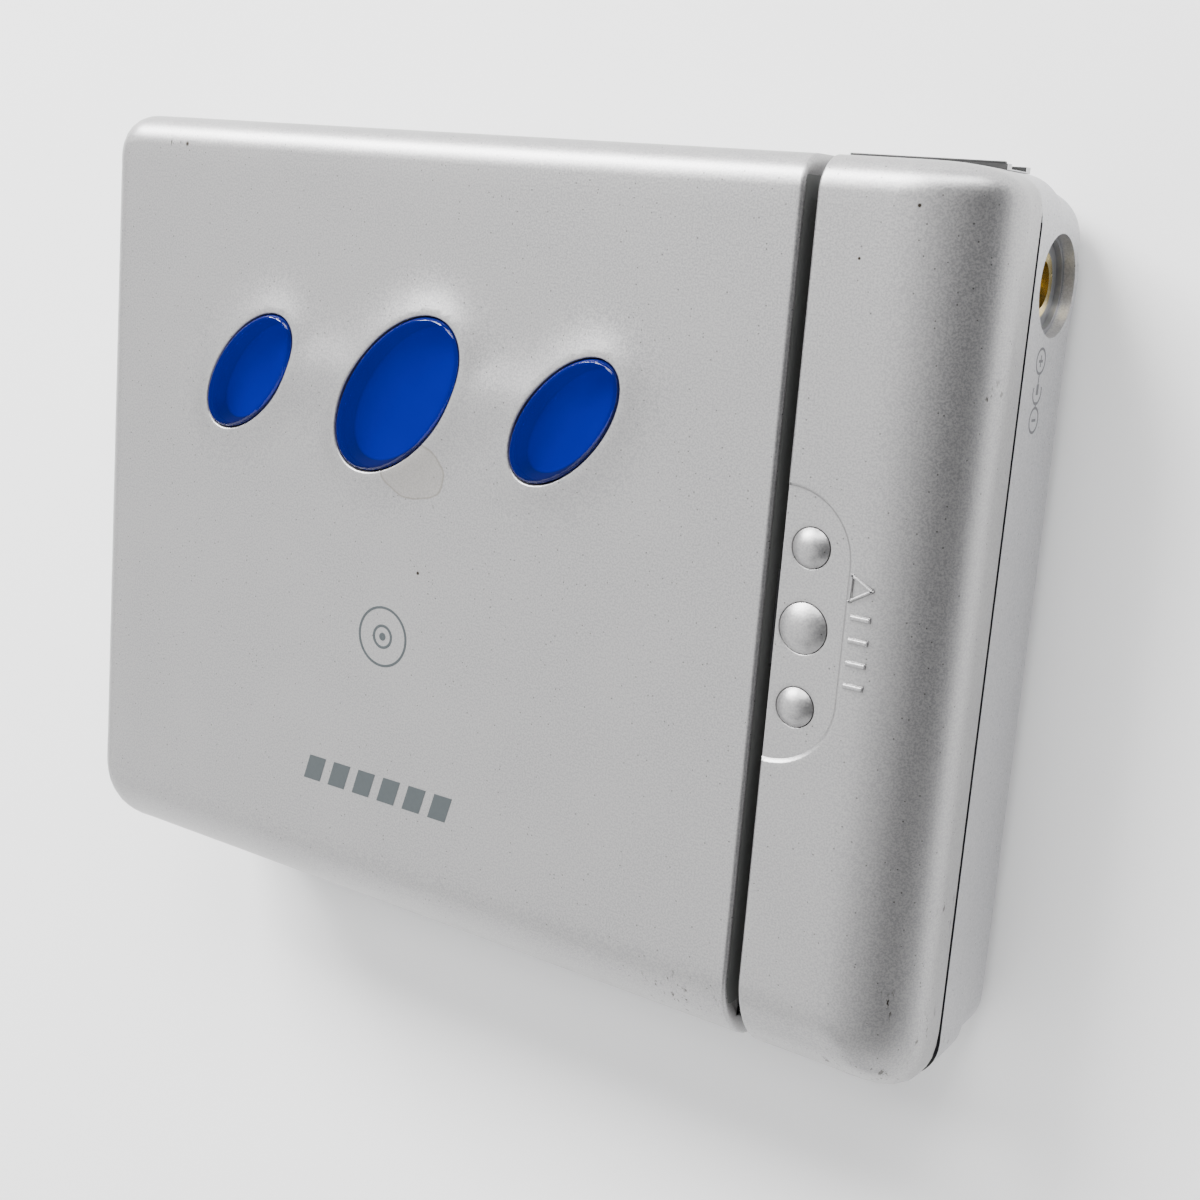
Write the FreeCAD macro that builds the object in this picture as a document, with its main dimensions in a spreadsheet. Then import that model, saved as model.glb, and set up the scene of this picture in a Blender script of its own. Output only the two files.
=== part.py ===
import FreeCAD, Part
import Sketcher

import math
import os
import re

from FreeCAD import Placement, Rotation, Vector

# A portable MiniDisc player, lying on its feet with the lid up.
# Frame: +Z up (out of the lid), +X towards the fixed strip, +Y towards the jack side.
# The origin is on the floor under the middle of the case. Millimetres.

DIMENSIONS = {
    # case
    "case_long": 100.2,
    "case_wide": 80.2,
    "face_top": 21.6,
    "part_line": 12.8,
    "floor_low": 1.0,
    "skin": 1.3,
    "side_edge": 3.0,
    "strip_edge": 7.0,
    "front_edge": 8.4,
    "lid_corner": 4.8,
    "strip_corner": 4.2,
    "strip_wide": 16.0,
    "seam_gap": 1.2,
    "base_wall": 1.2,
    "base_top": 12.65,
    "step_top": 7.1,
    "step_inset": 1.0,
    "base_edge": 2.0,
    "base_corner": 4.2,
    "base_shift": 0.4,
    "base_back": 0.2,
    "upper_edge": 0.9,
    "room_corner": 3.0,
    "floor_bite": 0.2,
    # hinge
    "hinge_back": 46.6,
    "hinge_up": 14.2,
    "ear_radius": 3.5,
    "hinge_gap": 0.25,
    "pin_radius": 0.75,
    "run_gap": 0.05,
    "post_in": 33.0,
    "post_out": 35.5,
    "post_round": 2.0,
    "ear_wide": 4.0,
    "notch_side": 0.3,
    "notch_reach": 0.6,
    "notch_up": 0.4,
    "pin_long": 5.4,
    # keys on the lid
    "key_y": 15.0,
    "key_mid_x": -8.2,
    "key_pitch": 19.55,
    "key_turn": 48.5,
    "key_big_long": 9.3,
    "key_big_short": 5.4,
    "key_small_long": 7.3,
    "key_small_short": 3.95,
    "key_gap": 0.15,
    "key_crown": 23.0,
    "key_flange": 0.9,
    "flange_low": 19.4,
    "flange_high": 20.1,
    "plunger_low": 18.95,
    "mound_peak": 1.4,
    "mound_margin": 4.5,
    "mound_sink": 6.6,
    "crown_r": 60.0,
    "key_soft": 0.5,
    "plunger_r": 1.2,
    "film_side": 9.0,
    "film_half": 6.0,
    "film_tail": 3.0,
    "film_low": 0.05,
    "film_high": 0.2,
    "snap_r": 2.5,
    "snap_top": 1.4,
    "snap_tall": 0.3,
    # disc holder
    "deck_y": 0.85,
    "disc_x": -8.6,
    "holder_back": -43.0,
    "holder_mouth": 28.5,
    "holder_half": 36.9,
    "holder_low": 12.0,
    "holder_high": 18.0,
    "sheet": 0.4,
    "holder_lip": 3.2,
    "tab_half": 10.0,
    "holder_ear": 2.6,
    "holder_ear_back": 1.4,
    "boss_shift": 1.1,
    "boss_y": 20.0,
    "boss_r": 1.8,
    "boss_screw": 1.9,
    "holder_head": 1.3,
    "holder_head_tall": 0.5,
    "catch_half": 9.0,
    "catch_slot": 4.8,
    "catch_gap": 0.2,
    "catch_thick": 0.7,
    # lid release
    "window_half": 11.9,
    "window_deep": 6.3,
    "window_round": 6.0,
    "window_lip": 0.3,
    "slider_top": 21.25,
    "slider_low": 20.15,
    "dome_x": 36.75,
    "dome_pitch": 6.93,
    "dome_big": 2.2,
    "dome_small": 1.73,
    "dome_tall": 0.75,
    "tongue_tip": 33.05,
    "tongue_low": 18.7,
    "tongue_high": 19.5,
    "stem_near": 1.6,
    "stem_far": 4.6,
    "stem_half": 4.2,
    "slab_side": 0.35,
    "slab_deep": 0.5,
    "pocket_side": 0.7,
    "pocket_deep": 1.8,
    "seam_foot": 1.5,
    "seam_foot_up": 1.6,
    "guide_near": 1.3,
    "guide_far": 10.6,
    "guide_half": 11.0,
    "guide_low": 0.8,
    "guide_gap": 0.15,
    "guide_post": 3.0,
    "mark_raise": 0.25,
    "mark_sink": 0.2,
    "arrow_outer": 1.3,
    "arrow_inner": 0.8,
    "arrow_x": 7.4,
    "arrow_y": 4.4,
    "bar_start": 7.2,
    "bar_end": 8.8,
    "bar_wide": 0.5,
    "bar_pitch": 1.95,
    # springs: mean radius, wire radius, pitch and length
    "release_coil": 0.45,
    "release_wire": 0.1,
    "release_pitch": 0.6,
    "release_coil_long": 4.6,
    "lid_coil": 1.25,
    "lid_wire": 0.18,
    "lid_pitch": 0.62,
    "lid_coil_long": 1.86,
    "lid_coil_y": 30.9,
    "cell_coil": 3.2,
    "cell_wire": 0.35,
    "cell_pitch": 1.5,
    "cell_coil_long": 3.0,
    # battery bay
    "bay_left": 33.95,
    "bay_right": 48.8,
    "bay_front": -37.4,
    "bay_back": 17.6,
    "rib": 1.0,
    "rib_drop": 0.15,
    "door_gap": 0.15,
    "door_side": 0.1,
    "door_end": 0.6,
    "contact_thick": 0.35,
    "contact_half": 4.0,
    "button_r": 2.0,
    "button_out": 0.8,
    # chassis and boards
    "chassis_low": 10.8,
    "chassis_high": 11.4,
    "chassis_left": -42.4,
    "chassis_right": 32.0,
    "chassis_half": 36.4,
    "board_low": 3.0,
    "board_high": 3.8,
    "board_left": -43.6,
    "board_right": 32.3,
    "board_front": -34.5,
    "board_back": 36.0,
    "board_notch_x": 24.6,
    "board_notch_y": 27.5,
    "chip_tall": 1.2,
    "post_x_left": -38.0,
    "post_x_right": 28.0,
    "post_y": 30.0,
    "post_r": 2.2,
    "screw_r": 0.7,
    "screw_head": 1.5,
    "cover_screw_x": 44.0,
    "cover_screw_y": 22.3,
    "cover_boss": 2.2,
    "cover_head_up": 0.9,
    "cover_screw_long": 14.5,
    "head_tall": 0.5,
    "screw_long": 5.0,
    "slot_wide": 11.2,
    "cell_up": 9.6,
    # spindle
    "spindle_base_r": 11.0,
    "spindle_low": 4.4,
    "rotor_r": 9.5,
    "rotor_low": 5.4,
    "rotor_top": 8.4,
    "rotor_sheet": 0.7,
    "table_r": 5.6,
    "table_top": 12.2,
    "hub_top": 13.2,
    "hub_r": 1.9,
    "table_stem": 3.0,
    "table_rim": 0.8,
    "table_groove": 0.6,
    "base_sheet": 0.6,
    "bearing_r": 1.7,
    "magnet_thick": 1.2,
    "coil_ring": 5.0,
    "coil_r": 1.9,
    "coil_tall": 1.6,
    "shaft_r": 0.75,
    # pickup drive
    "rod_r": 1.0,
    "rod_up": 7.5,
    "rod_left": 13.0,
    "screw_right": 14.0,
    "rod_start": 9.4,
    "rod_end": 37.2,
    "ear_front": 9.5,
    "ear_back": 36.3,
    "ear_thick": 0.9,
    "ear_half": 1.8,
    "bracket_y": 9.0,
    "bracket_thick": 0.5,
    "thread_start": 11.8,
    "thread_end": 36.0,
    "sled_start": 12.2,
    "sled_end": 21.5,
    "lens_out": 16.0,
    "lens_r": 1.65,
    "lens_ball": 2.2,
    "lens_up": 9.4,
    "sled_half": 6.0,
    "sled_low": 4.9,
    "sled_top": 9.9,
    "carrier_half": 4.0,
    "carrier_deep": 3.6,
    "carrier_tall": 1.0,
    "gear_module": 0.25,
    "gear_teeth": 20.0,
    "pinion_teeth": 10.0,
    "motor_r": 3.2,
    "motor_long": 12.0,
    "motor_shaft_r": 0.4,
    "nose_r": 1.1,
    # power inlet
    "inlet_y": 30.86,
    "inlet_up": 6.96,
    "inlet_well": 4.37,
    "inlet_step": 3.9,
    "inlet_boss": 5.2,
    "boss_deep": 9.0,
    "ring_deep": 2.2,
    "sleeve_out": 2.9,
    "sleeve_in": 2.1,
    "sleeve_deep": 9.6,
    "pin_deep": 9.0,
    "inlet_pin_r": 0.75,
    "inlet_pin_long": 5.6,
    "pin_tip": 0.4,
    # side panel
    "panel_left": 32.1,
    "panel_right": 46.6,
    "panel_low": 7.2,
    "panel_high": 12.5,
    "panel_proud": 0.3,
    "plug_side": 0.7,
    "phone_x": 35.8,
    "phone_up": 9.85,
    "phone_r": 1.8,
    "bush_r": 2.15,
    "hold_x": 42.0,
    "hold_travel": 2.5,
    "hold_half": 1.8,
    "hold_tall": 1.5,
    "hold_proud": 0.5,
    "hold_groove": 0.3,
    "groove_pitch": 0.6,
    "switch_start": 36.0,
    "jack_half": 2.6,
    "jack_start": 25.2,
    "jack_bottom": 26.6,
    "hold_play": 0.4,
    "slot_half": 0.8,
    # volume keys
    "volume_x": -13.5,
    "volume_pitch": 9.0,
    "volume_up": 9.1,
    "volume_half": 3.4,
    "volume_tall": 1.4,
    "volume_proud": 1.1,
    "volume_play": 0.2,
    "volume_soft": 0.6,
    "volume_flange": 4.0,
    "volume_lip": 1.8,
    "nub_r": 0.6,
    "switch_near": 3.0,
    "switch_far": 4.4,
    "switch_board": 9.5,
    "foot_r": 3.5,
    "foot_x_left": -42.0,
    "foot_x_right": 28.5,
    "foot_y": 32.0,
}

doc = FreeCAD.newDocument("MiniDiscPlayer")
sheet = doc.addObject("Spreadsheet::Sheet", "Sizes")
for row, (alias, size) in enumerate(DIMENSIONS.items(), start=1):
    sheet.set("A%d" % row, alias)
    sheet.set("B%d" % row, str(size))
    sheet.setAlias("B%d" % row, alias)
doc.recompute()

pieces = []
counter = {}

# Edges that many pieces share: the fixed strip's edge and the lid's edge at the seam.
SEAM = "case_long / 2 - strip_wide"
LID_EDGE = SEAM + " - seam_gap"
# The lower case stands in a little from the lid on the hinge side and the jack side.
BASE_LEFT = "-case_long / 2 + base_shift"
BASE_BACK = "case_wide / 2 - base_back"
# The case's hinge posts lie between these limits, and the disc holder hangs on two bosses.
POST_SPANS = (("post_in", "post_out"), ("-post_out", "-post_in"))
BOSS_X = "-hinge_back + boss_shift"
BOSS_Y = ("-boss_y", "boss_y")
# Middles of the two volume keys.
VOLUME_X = ("volume_x - volume_pitch / 2", "volume_x + volume_pitch / 2")


# ---------------------------------------------------------------- helpers

def size(alias):
    """Value of one driving dimension, read from the sheet."""
    return float(sheet.get(alias))


def linked(text):
    """An expression in which each driving dimension points at the sheet."""
    def swap(match):
        word = match.group(0)
        return "Sizes." + word if word in DIMENSIONS else word
    return re.sub(r"[a-z][a-z_]*", swap, str(text))


def fresh(kind, label):
    """A new document object with a name of its own."""
    counter[label] = counter.get(label, 0) + 1
    return doc.addObject(kind, "%s_%d" % (label, counter[label]))


def bind(thing, **values):
    """Bind properties to expressions. A double underscore stands for a dot."""
    for prop, text in values.items():
        thing.setExpression(prop.replace("__", "."), linked(text))
    return thing


def place(thing, x, y, z):
    """Bind the position of an object to expressions."""
    thing.setExpression("Placement.Base.x", linked(x))
    thing.setExpression("Placement.Base.y", linked(y))
    thing.setExpression("Placement.Base.z", linked(z))
    return thing


def box(x0, x1, y0, y1, z0, z1, label="block"):
    """A box between two corners, each limit an expression."""
    thing = fresh("Part::Box", label)
    bind(thing, Length="(%s) - (%s)" % (x1, x0), Width="(%s) - (%s)" % (y1, y0),
         Height="(%s) - (%s)" % (z1, z0))
    return place(thing, x0, y0, z0)


TURN_TO = {
    "x": Rotation(Vector(0, 1, 0), 90),
    "y": Rotation(Vector(1, 0, 0), -90),
    "z": Rotation(),
}


def rod(axis, x, y, z, radius, length, label="round"):
    """A cylinder from a start point along +X, +Y or +Z."""
    thing = fresh("Part::Cylinder", label)
    bind(thing, Radius=radius, Height=length)
    thing.Placement = Placement(Vector(), TURN_TO[axis])
    return place(thing, x, y, z)


def cone(axis, x, y, z, radius_start, radius_end, length, label="taper"):
    """A cone frustum from a start point along +X, +Y or +Z."""
    thing = fresh("Part::Cone", label)
    bind(thing, Radius1=radius_start, Radius2=radius_end, Height=length)
    thing.Placement = Placement(Vector(), TURN_TO[axis])
    return place(thing, x, y, z)


def fuse(*shapes, label="joined"):
    thing = fresh("Part::MultiFuse", label)
    thing.Shapes = list(shapes)
    return thing


def common(*shapes, label="shared"):
    thing = fresh("Part::MultiCommon", label)
    thing.Shapes = list(shapes)
    return thing


def cut(base, *tools, label="cut"):
    thing = fresh("Part::Cut", label)
    thing.Base = base
    thing.Tool = tools[0] if len(tools) == 1 else fuse(*tools, label="tools")
    return thing


def group(*shapes, label="group"):
    """Several separate solids kept as one piece of hardware."""
    thing = fresh("Part::Compound", label)
    thing.Links = list(shapes)
    return thing


def rounded(base, *rules, label="rounded"):
    """Fillet the edges that a rule picks. A rule is (radius, test of direction and middle)."""
    doc.recompute()
    chosen = []
    for number, edge in enumerate(base.Shape.Edges, start=1):
        middle = edge.valueAt((edge.FirstParameter + edge.LastParameter) / 2)
        ends = edge.Vertexes[-1].Point - edge.Vertexes[0].Point
        for radius, test in rules:
            if test(ends, middle):
                chosen.append((number, radius, radius))
                break
    thing = fresh("Part::Fillet", label)
    thing.Base = base
    thing.Edges = chosen
    return thing


def along(axis):
    """Test: the edge runs along one axis."""
    others = [i for i in range(3) if i != axis]
    return lambda ends: abs(ends[axis]) > 0.01 and all(abs(ends[i]) < 1e-4 for i in others)


def finish(thing, node):
    """Name the finished piece and keep it for writing."""
    thing.Label = node
    pieces.append(thing)
    return thing


def new_body(node):
    body = doc.addObject("PartDesign::Body", node + "_body")
    return body


def sketch_on(body, role, name):
    """A sketch on one of the body's own origin planes."""
    sketch = body.newObject("Sketcher::SketchObject", name)
    plane = [o for o in body.Origin.OriginFeatures if o.Role == role][0]
    sketch.AttachmentSupport = [(plane, "")]
    sketch.MapMode = "FlatFace"
    return sketch


def pin_point(sketch, geometry, which, across, up):
    """Hold one sketch point at two bound distances from the sketch's origin."""
    for kind, text in (("DistanceX", across), ("DistanceY", up)):
        index = sketch.addConstraint(Sketcher.Constraint(kind, -1, 1, geometry, which, 1.0))
        sketch.setExpression("Constraints[%d]" % index, linked(text))


def polygon(sketch, corners):
    """A closed outline of straight edges whose corners are bound to expressions."""
    count = len(corners)
    rough = [Vector(math.cos(2 * math.pi * i / count), math.sin(2 * math.pi * i / count), 0)
             for i in range(count)]
    edges = []
    for i in range(count):
        edges.append(sketch.addGeometry(Part.LineSegment(rough[i], rough[(i + 1) % count]), False))
    for i in range(count):
        following = edges[(i + 1) % count]
        sketch.addConstraint(Sketcher.Constraint("Coincident", edges[i], 2, following, 1))
    for edge, (across, up) in zip(edges, corners):
        pin_point(sketch, edge, 1, across, up)


def circle(sketch, across, up, radius):
    """A full circle with bound centre and radius."""
    ring = sketch.addGeometry(Part.Circle(Vector(1, 1, 0), Vector(0, 0, 1), 1), False)
    pin_point(sketch, ring, 3, across, up)
    index = sketch.addConstraint(Sketcher.Constraint("Radius", ring, 1.0))
    sketch.setExpression("Constraints[%d]" % index, linked(radius))


def turned(node, x, y, profile):
    """A piece turned about a vertical axis: its half profile is (radius, height) pairs."""
    body = new_body(node)
    sketch = sketch_on(body, "XZ_Plane", node + "_profile")
    polygon(sketch, profile)
    turn = body.newObject("PartDesign::Revolution", node + "_turn")
    turn.Profile = sketch
    turn.ReferenceAxis = (sketch, ["V_Axis"])
    turn.Angle = 360
    place(body, x, y, "0")
    return finish(body, node)


def plate(node, low, high, outline, holes):
    """A flat plate: an outline with round and straight-sided holes, padded upwards."""
    body = new_body(node)
    sketch = sketch_on(body, "XY_Plane", node + "_outline")
    polygon(sketch, outline)
    for hole in holes:
        if len(hole) == 3:
            circle(sketch, *hole)
        else:
            polygon(sketch, hole)
    pad = body.newObject("PartDesign::Pad", node + "_pad")
    pad.Profile = sketch
    bind(pad, Length="(%s) - (%s)" % (high, low))
    place(body, "0", "0", low)
    return body


def rectangle(x0, x1, y0, y1):
    return [(x0, y0), (x1, y0), (x1, y1), (x0, y1)]


# ---------------------------------------------------------------- outer shells

def pillow(x0, x1, y0, y1, z0, z1, left, right, front, back, corner_left, corner_right):
    """A block with its own rounding on each top edge and at the upright corners."""
    top = size("face_top") - size("side_edge")
    run_y = along(1)
    run_x = along(0)
    run_z = along(2)
    side = box(x0, x1, y0, y1, z0, z1, label="side_profile")
    doc.recompute()
    middle_x = side.Shape.BoundBox.Center.x
    middle_y = side.Shape.BoundBox.Center.y
    rules = []
    if left:
        rules.append((left, lambda d, m: run_y(d) and m.z > top and m.x < middle_x))
    if right:
        rules.append((right, lambda d, m: run_y(d) and m.z > top and m.x > middle_x))
    side_round = rounded(side, *rules)
    end = box(x0, x1, y0, y1, z0, z1, label="end_profile")
    end_round = rounded(end, (front, lambda d, m: run_x(d) and m.z > top and m.y < middle_y),
                        (back, lambda d, m: run_x(d) and m.z > top and m.y > middle_y))
    plan = box(x0, x1, y0, y1, z0, z1, label="plan_profile")
    rules = []
    if corner_left:
        rules.append((corner_left, lambda d, m: run_z(d) and m.x < middle_x))
    if corner_right:
        rules.append((corner_right, lambda d, m: run_z(d) and m.x > middle_x))
    plan_round = rounded(plan, *rules)
    return common(side_round, end_round, plan_round, label="pillow")


def oval(node, x, long_half, short_half, z0, z1, grow="0"):
    """A slanted elliptical block."""
    rim = fresh("Part::Ellipse", node + "_rim")
    bind(rim, MajorRadius="(%s) + (%s)" % (long_half, grow),
         MinorRadius="(%s) + (%s)" % (short_half, grow))
    rim.Placement = Placement(Vector(), Rotation(Vector(0, 0, 1), size("key_turn")))
    place(rim, x, "key_y", z0)
    block = fresh("Part::Extrusion", node + "_block")
    block.Base = rim
    block.DirMode = "Custom"
    block.Dir = Vector(0, 0, 1)
    block.Solid = True
    bind(block, LengthFwd="(%s) - (%s)" % (z1, z0))
    return block


KEYS = {
    "skip_back_key": ("key_mid_x - key_pitch", "key_small_long", "key_small_short"),
    "play_key": ("key_mid_x", "key_big_long", "key_big_short"),
    "skip_forward_key": ("key_mid_x + key_pitch", "key_small_long", "key_small_short"),
}


def mound(x, long_half, short_half):
    """The low swelling round one key: the cap of a slanted ellipsoid."""
    tall = size("mound_peak") + size("mound_sink")
    spread = math.sqrt(1 - (size("mound_sink") / tall) ** 2)
    body = fresh("Part::Ellipsoid", "mound")
    bind(body, Radius1="mound_peak + mound_sink",
         Radius2="(%s + mound_margin) / %.6f" % (long_half, spread),
         Radius3="(%s + mound_margin) / %.6f" % (short_half, spread))
    body.Placement = Placement(Vector(), Rotation(Vector(0, 0, 1), size("key_turn")))
    place(body, x, "key_y", "face_top - mound_sink")
    above = box("-case_long / 2", "case_long / 2", "-case_wide / 2", "case_wide / 2",
                "face_top - 0.5", "face_top + 5", label="above_face")
    return common(body, above, label="mound_cap")


def lid_cover():
    """The hinged shell: three mounds with key holes, hinge ears, and a lip at the seam."""
    outer = pillow("-case_long / 2", LID_EDGE,
                   "-case_wide / 2", "case_wide / 2", "hinge_up - ear_radius", "face_top",
                   size("side_edge"), 0, size("front_edge"), size("side_edge"),
                   size("lid_corner"), 0)
    solid = fuse(outer, *[mound(*spec) for spec in KEYS.values()])
    ears = [rod("y", "-hinge_back", "case_wide / 2 - ear_wide", "hinge_up", "ear_radius",
                "ear_wide"),
            rod("y", "-hinge_back", "-case_wide / 2", "hinge_up", "ear_radius", "ear_wide")]
    inner = pillow("-case_long / 2 + skin", LID_EDGE + " - skin",
                   "-case_wide / 2 + skin", "case_wide / 2 - skin",
                   "hinge_up - ear_radius - 1", "face_top - skin - 0.1",
                   size("side_edge") - size("skin"), 0,
                   size("front_edge") - size("skin"), size("side_edge") - size("skin"),
                   size("lid_corner") - size("skin"), 0)
    cavity = cut(inner, *ears, label="lid_cavity")
    below = cut(box("-case_long / 2 - 1", "case_long / 2", "-case_wide / 2 - 1",
                    "case_wide / 2 + 1", "hinge_up - ear_radius - 1", "part_line + 0.05"),
                rod("y", "-hinge_back", "case_wide / 2 - ear_wide", "hinge_up", "ear_radius",
                "ear_wide"),
                rod("y", "-hinge_back", "-case_wide / 2", "hinge_up", "ear_radius", "ear_wide"))
    behind = cut(box("-case_long / 2 - 1", "-hinge_back", "-case_wide / 2 - 1",
                     "case_wide / 2 + 1", "hinge_up - ear_radius - 1", "hinge_up"),
                 rod("y", "-hinge_back", "-case_wide / 2 - 2", "hinge_up", "ear_radius",
                     "case_wide + 4"))
    mouth = box(LID_EDGE + " - skin - 1", "case_long / 2",
                "-case_wide / 2 + 2 * skin", "case_wide / 2 - skin",
                "hinge_up - ear_radius - 1", "holder_high + 0.3")
    notches = [box("-case_long / 2 - 1", "-hinge_back + post_round + notch_reach",
                   low + " - notch_side", high + " + notch_side",
                   "hinge_up - ear_radius - 1", "hinge_up + post_round + notch_up")
               for low, high in POST_SPANS]
    catch_slot = box(LID_EDGE + " - skin - 1", "case_long / 2",
                     "deck_y - catch_slot", "deck_y + catch_slot",
                     "tongue_low - catch_gap", "tongue_high + catch_gap")
    holes = [oval("key_hole", x, big, small, "face_top - 4", "face_top + 4", "key_gap")
             for x, big, small in KEYS.values()]
    pin_holes = [rod("y", "-hinge_back", "post_out", "hinge_up", "pin_radius + run_gap",
                     "case_wide / 2 - post_out - skin"),
                 rod("y", "-hinge_back", "-case_wide / 2 + skin", "hinge_up",
                     "pin_radius + run_gap", "case_wide / 2 - post_out - skin")]
    bosses = [rod("z", BOSS_X, y, "holder_high", "boss_r", "face_top - skin - holder_high")
              for y in BOSS_Y]
    shell = cut(solid, cavity, below, behind, mouth, *notches, catch_slot, *holes, *pin_holes)
    drilled = cut(fuse(shell, *bosses),
                  *[rod("z", BOSS_X, y, "holder_high - 0.1", "screw_r", "boss_screw")
                    for y in BOSS_Y])
    return finish(drilled, "lid_cover")


def lid_key(node):
    """An oval key: a slightly crowned cap, a flange that keeps it in, and a plunger."""
    x, long_half, short_half = KEYS[node]
    stem = oval(node, x, long_half, short_half, "flange_high - 0.1", "key_crown + 1")
    ball = fresh("Part::Sphere", "crown")
    bind(ball, Radius="crown_r")
    place(ball, x, "key_y", "key_crown - crown_r")
    cap = common(stem, ball, label="cap")
    top = size("key_crown") - 1.5
    soft = rounded(cap, (size("key_soft"), lambda d, m: m.z > top and abs(d.z) < 0.5))
    flange = oval(node, x, long_half, short_half, "flange_low", "flange_high", "key_flange")
    plunger = rod("z", x, "key_y", "plunger_low", "plunger_r", "flange_low - plunger_low")
    return finish(fuse(soft, flange, plunger), node)


def key_circuit():
    """The flexible circuit under the keys, with its tail, and one snap dome per key."""
    start = "key_mid_x - key_pitch - film_side"
    sheet_part = box(start, "key_mid_x + key_pitch + film_side", "key_y - film_half",
                     "key_y + film_half", "holder_high + film_low", "holder_high + film_high")
    tail = box("holder_back + 1", start, "key_y - film_tail", "key_y + film_tail",
               "holder_high + film_low", "holder_high + film_high")
    finish(fuse(sheet_part, tail), "key_circuit")
    domes = [cone("z", x, "key_y", "holder_high + film_high", "snap_r", "snap_top", "snap_tall")
             for x, _, _ in KEYS.values()]
    finish(group(*domes), "key_domes")


def disc_holder():
    """The sheet-metal sleeve that takes the cartridge from the seam side."""
    outer = box("holder_back", "holder_mouth", "deck_y - holder_half", "deck_y + holder_half",
                "holder_low", "holder_high")
    room = box("holder_back + sheet", "holder_mouth + 1", "deck_y - holder_half + sheet",
               "deck_y + holder_half - sheet", "holder_low + sheet", "holder_high - sheet")
    gap = box("holder_back - 1", "holder_mouth + 1", "deck_y - holder_half + holder_lip",
              "deck_y + holder_half - holder_lip", "holder_low - 1", "holder_low + 1")
    tab = box("holder_mouth", LID_EDGE + " - skin - 0.3",
              "deck_y - tab_half", "deck_y + tab_half", "holder_high - sheet", "holder_high")
    ears = [box("-hinge_back - holder_ear_back", "holder_back", y + " - holder_ear",
                y + " + holder_ear", "holder_high - sheet", "holder_high") for y in BOSS_Y]
    screw_holes = [rod("z", BOSS_X, y, "holder_high - 1", "screw_r + 0.1", "2")
                   for y in BOSS_Y]
    finish(cut(fuse(cut(outer, room, gap), tab, *ears), *screw_holes), "disc_holder")
    screws = [fuse(rod("z", BOSS_X, y, "holder_high - sheet - holder_head_tall", "holder_head",
                       "holder_head_tall"),
                   rod("z", BOSS_X, y, "holder_high - sheet", "screw_r - run_gap",
                       "boss_screw + 0.1"))
              for y in BOSS_Y]
    finish(group(*screws), "holder_screws")
    edge = LID_EDGE + " - skin"
    bar = box(edge + " - catch_gap - catch_thick", edge + " - catch_gap", "deck_y - catch_half",
              "deck_y + catch_half", "holder_high", "face_top - skin - catch_gap")
    slot = box(edge + " - 2", edge + " + 1", "deck_y - catch_slot", "deck_y + catch_slot",
               "tongue_low - catch_gap", "tongue_high + catch_gap")
    finish(cut(bar, slot), "lid_catch")


def latch_plan(x0, x1, half, z0, z1, round_radius):
    """The D outline of the release: straight at the seam, round away from it."""
    block = box(x0, x1, "deck_y - (%s)" % half, "deck_y + (%s)" % half, z0, z1)
    doc.recompute()
    middle = block.Shape.BoundBox.Center.x
    upright = along(2)
    return rounded(block, (round_radius, lambda d, m: upright(d) and m.x > middle))


def strip_cover():
    """The fixed strip beside the lid, with the D-shaped window of the release."""
    outer = pillow(SEAM, "case_long / 2", "-case_wide / 2", "case_wide / 2", "part_line",
                   "face_top", 0, size("strip_edge"), size("front_edge"), size("side_edge"),
                   0, size("strip_corner"))
    skin = size("skin")
    inner = pillow(SEAM + " + 1", "case_long / 2 - skin", "-case_wide / 2 + skin",
                   "case_wide / 2 - skin", "part_line - 1", "face_top - skin - 0.1",
                   0, size("strip_edge") - skin, size("front_edge") - skin,
                   size("side_edge") - skin, 0, size("strip_corner") - skin)
    foot = box(SEAM + " - 1", SEAM + " + seam_foot", "-case_wide / 2 + skin",
               "case_wide / 2 - skin", "part_line - 1", "part_line + seam_foot_up")
    window = latch_plan(SEAM + " - 1", SEAM + " + window_deep", "window_half",
                        "slider_low - 0.1", "face_top + 1", size("window_round"))
    pocket = latch_plan(SEAM + " - 1", SEAM + " + window_deep + pocket_deep",
                        "window_half + pocket_side", "slider_low - 0.5", "face_top - window_lip",
                        size("window_round"))
    tongue_gap = box(SEAM + " - 1", SEAM + " + seam_foot", "deck_y - stem_half - notch_up",
                     "deck_y + stem_half + notch_up", "tongue_low - 0.25", "slider_low + 0.2")
    shell = cut(outer, inner, foot, window, pocket, tongue_gap)
    boss = cut(rod("z", "cover_screw_x", "cover_screw_y", "part_line", "cover_boss",
                   "face_top - skin - part_line"),
               rod("z", "cover_screw_x", "cover_screw_y", "part_line - 1", "screw_r", "5.6"))
    mark = cut(arrow_block("arrow_outer", "face_top - mark_sink", "face_top + mark_raise"),
               arrow_block("arrow_inner", "face_top - 1", "face_top + 1"))
    bars = []
    for step in range(4):
        start = "deck_y - arrow_y + %d * bar_pitch" % step
        bars.append(box(SEAM + " + bar_start", SEAM + " + bar_end", start, start + " + bar_wide",
                        "face_top - mark_sink", "face_top + mark_raise"))
    return finish(fuse(shell, boss, mark, *bars), "strip_cover")


def arrow_block(radius, z0, z1):
    """A three-sided block that points away from the lid."""
    thing = fresh("Part::Prism", "arrow")
    thing.Polygon = 3
    bind(thing, Circumradius=radius, Height="(%s) - (%s)" % (z1, z0))
    return place(thing, SEAM + " + arrow_x", "deck_y + arrow_y", z0)


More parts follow.
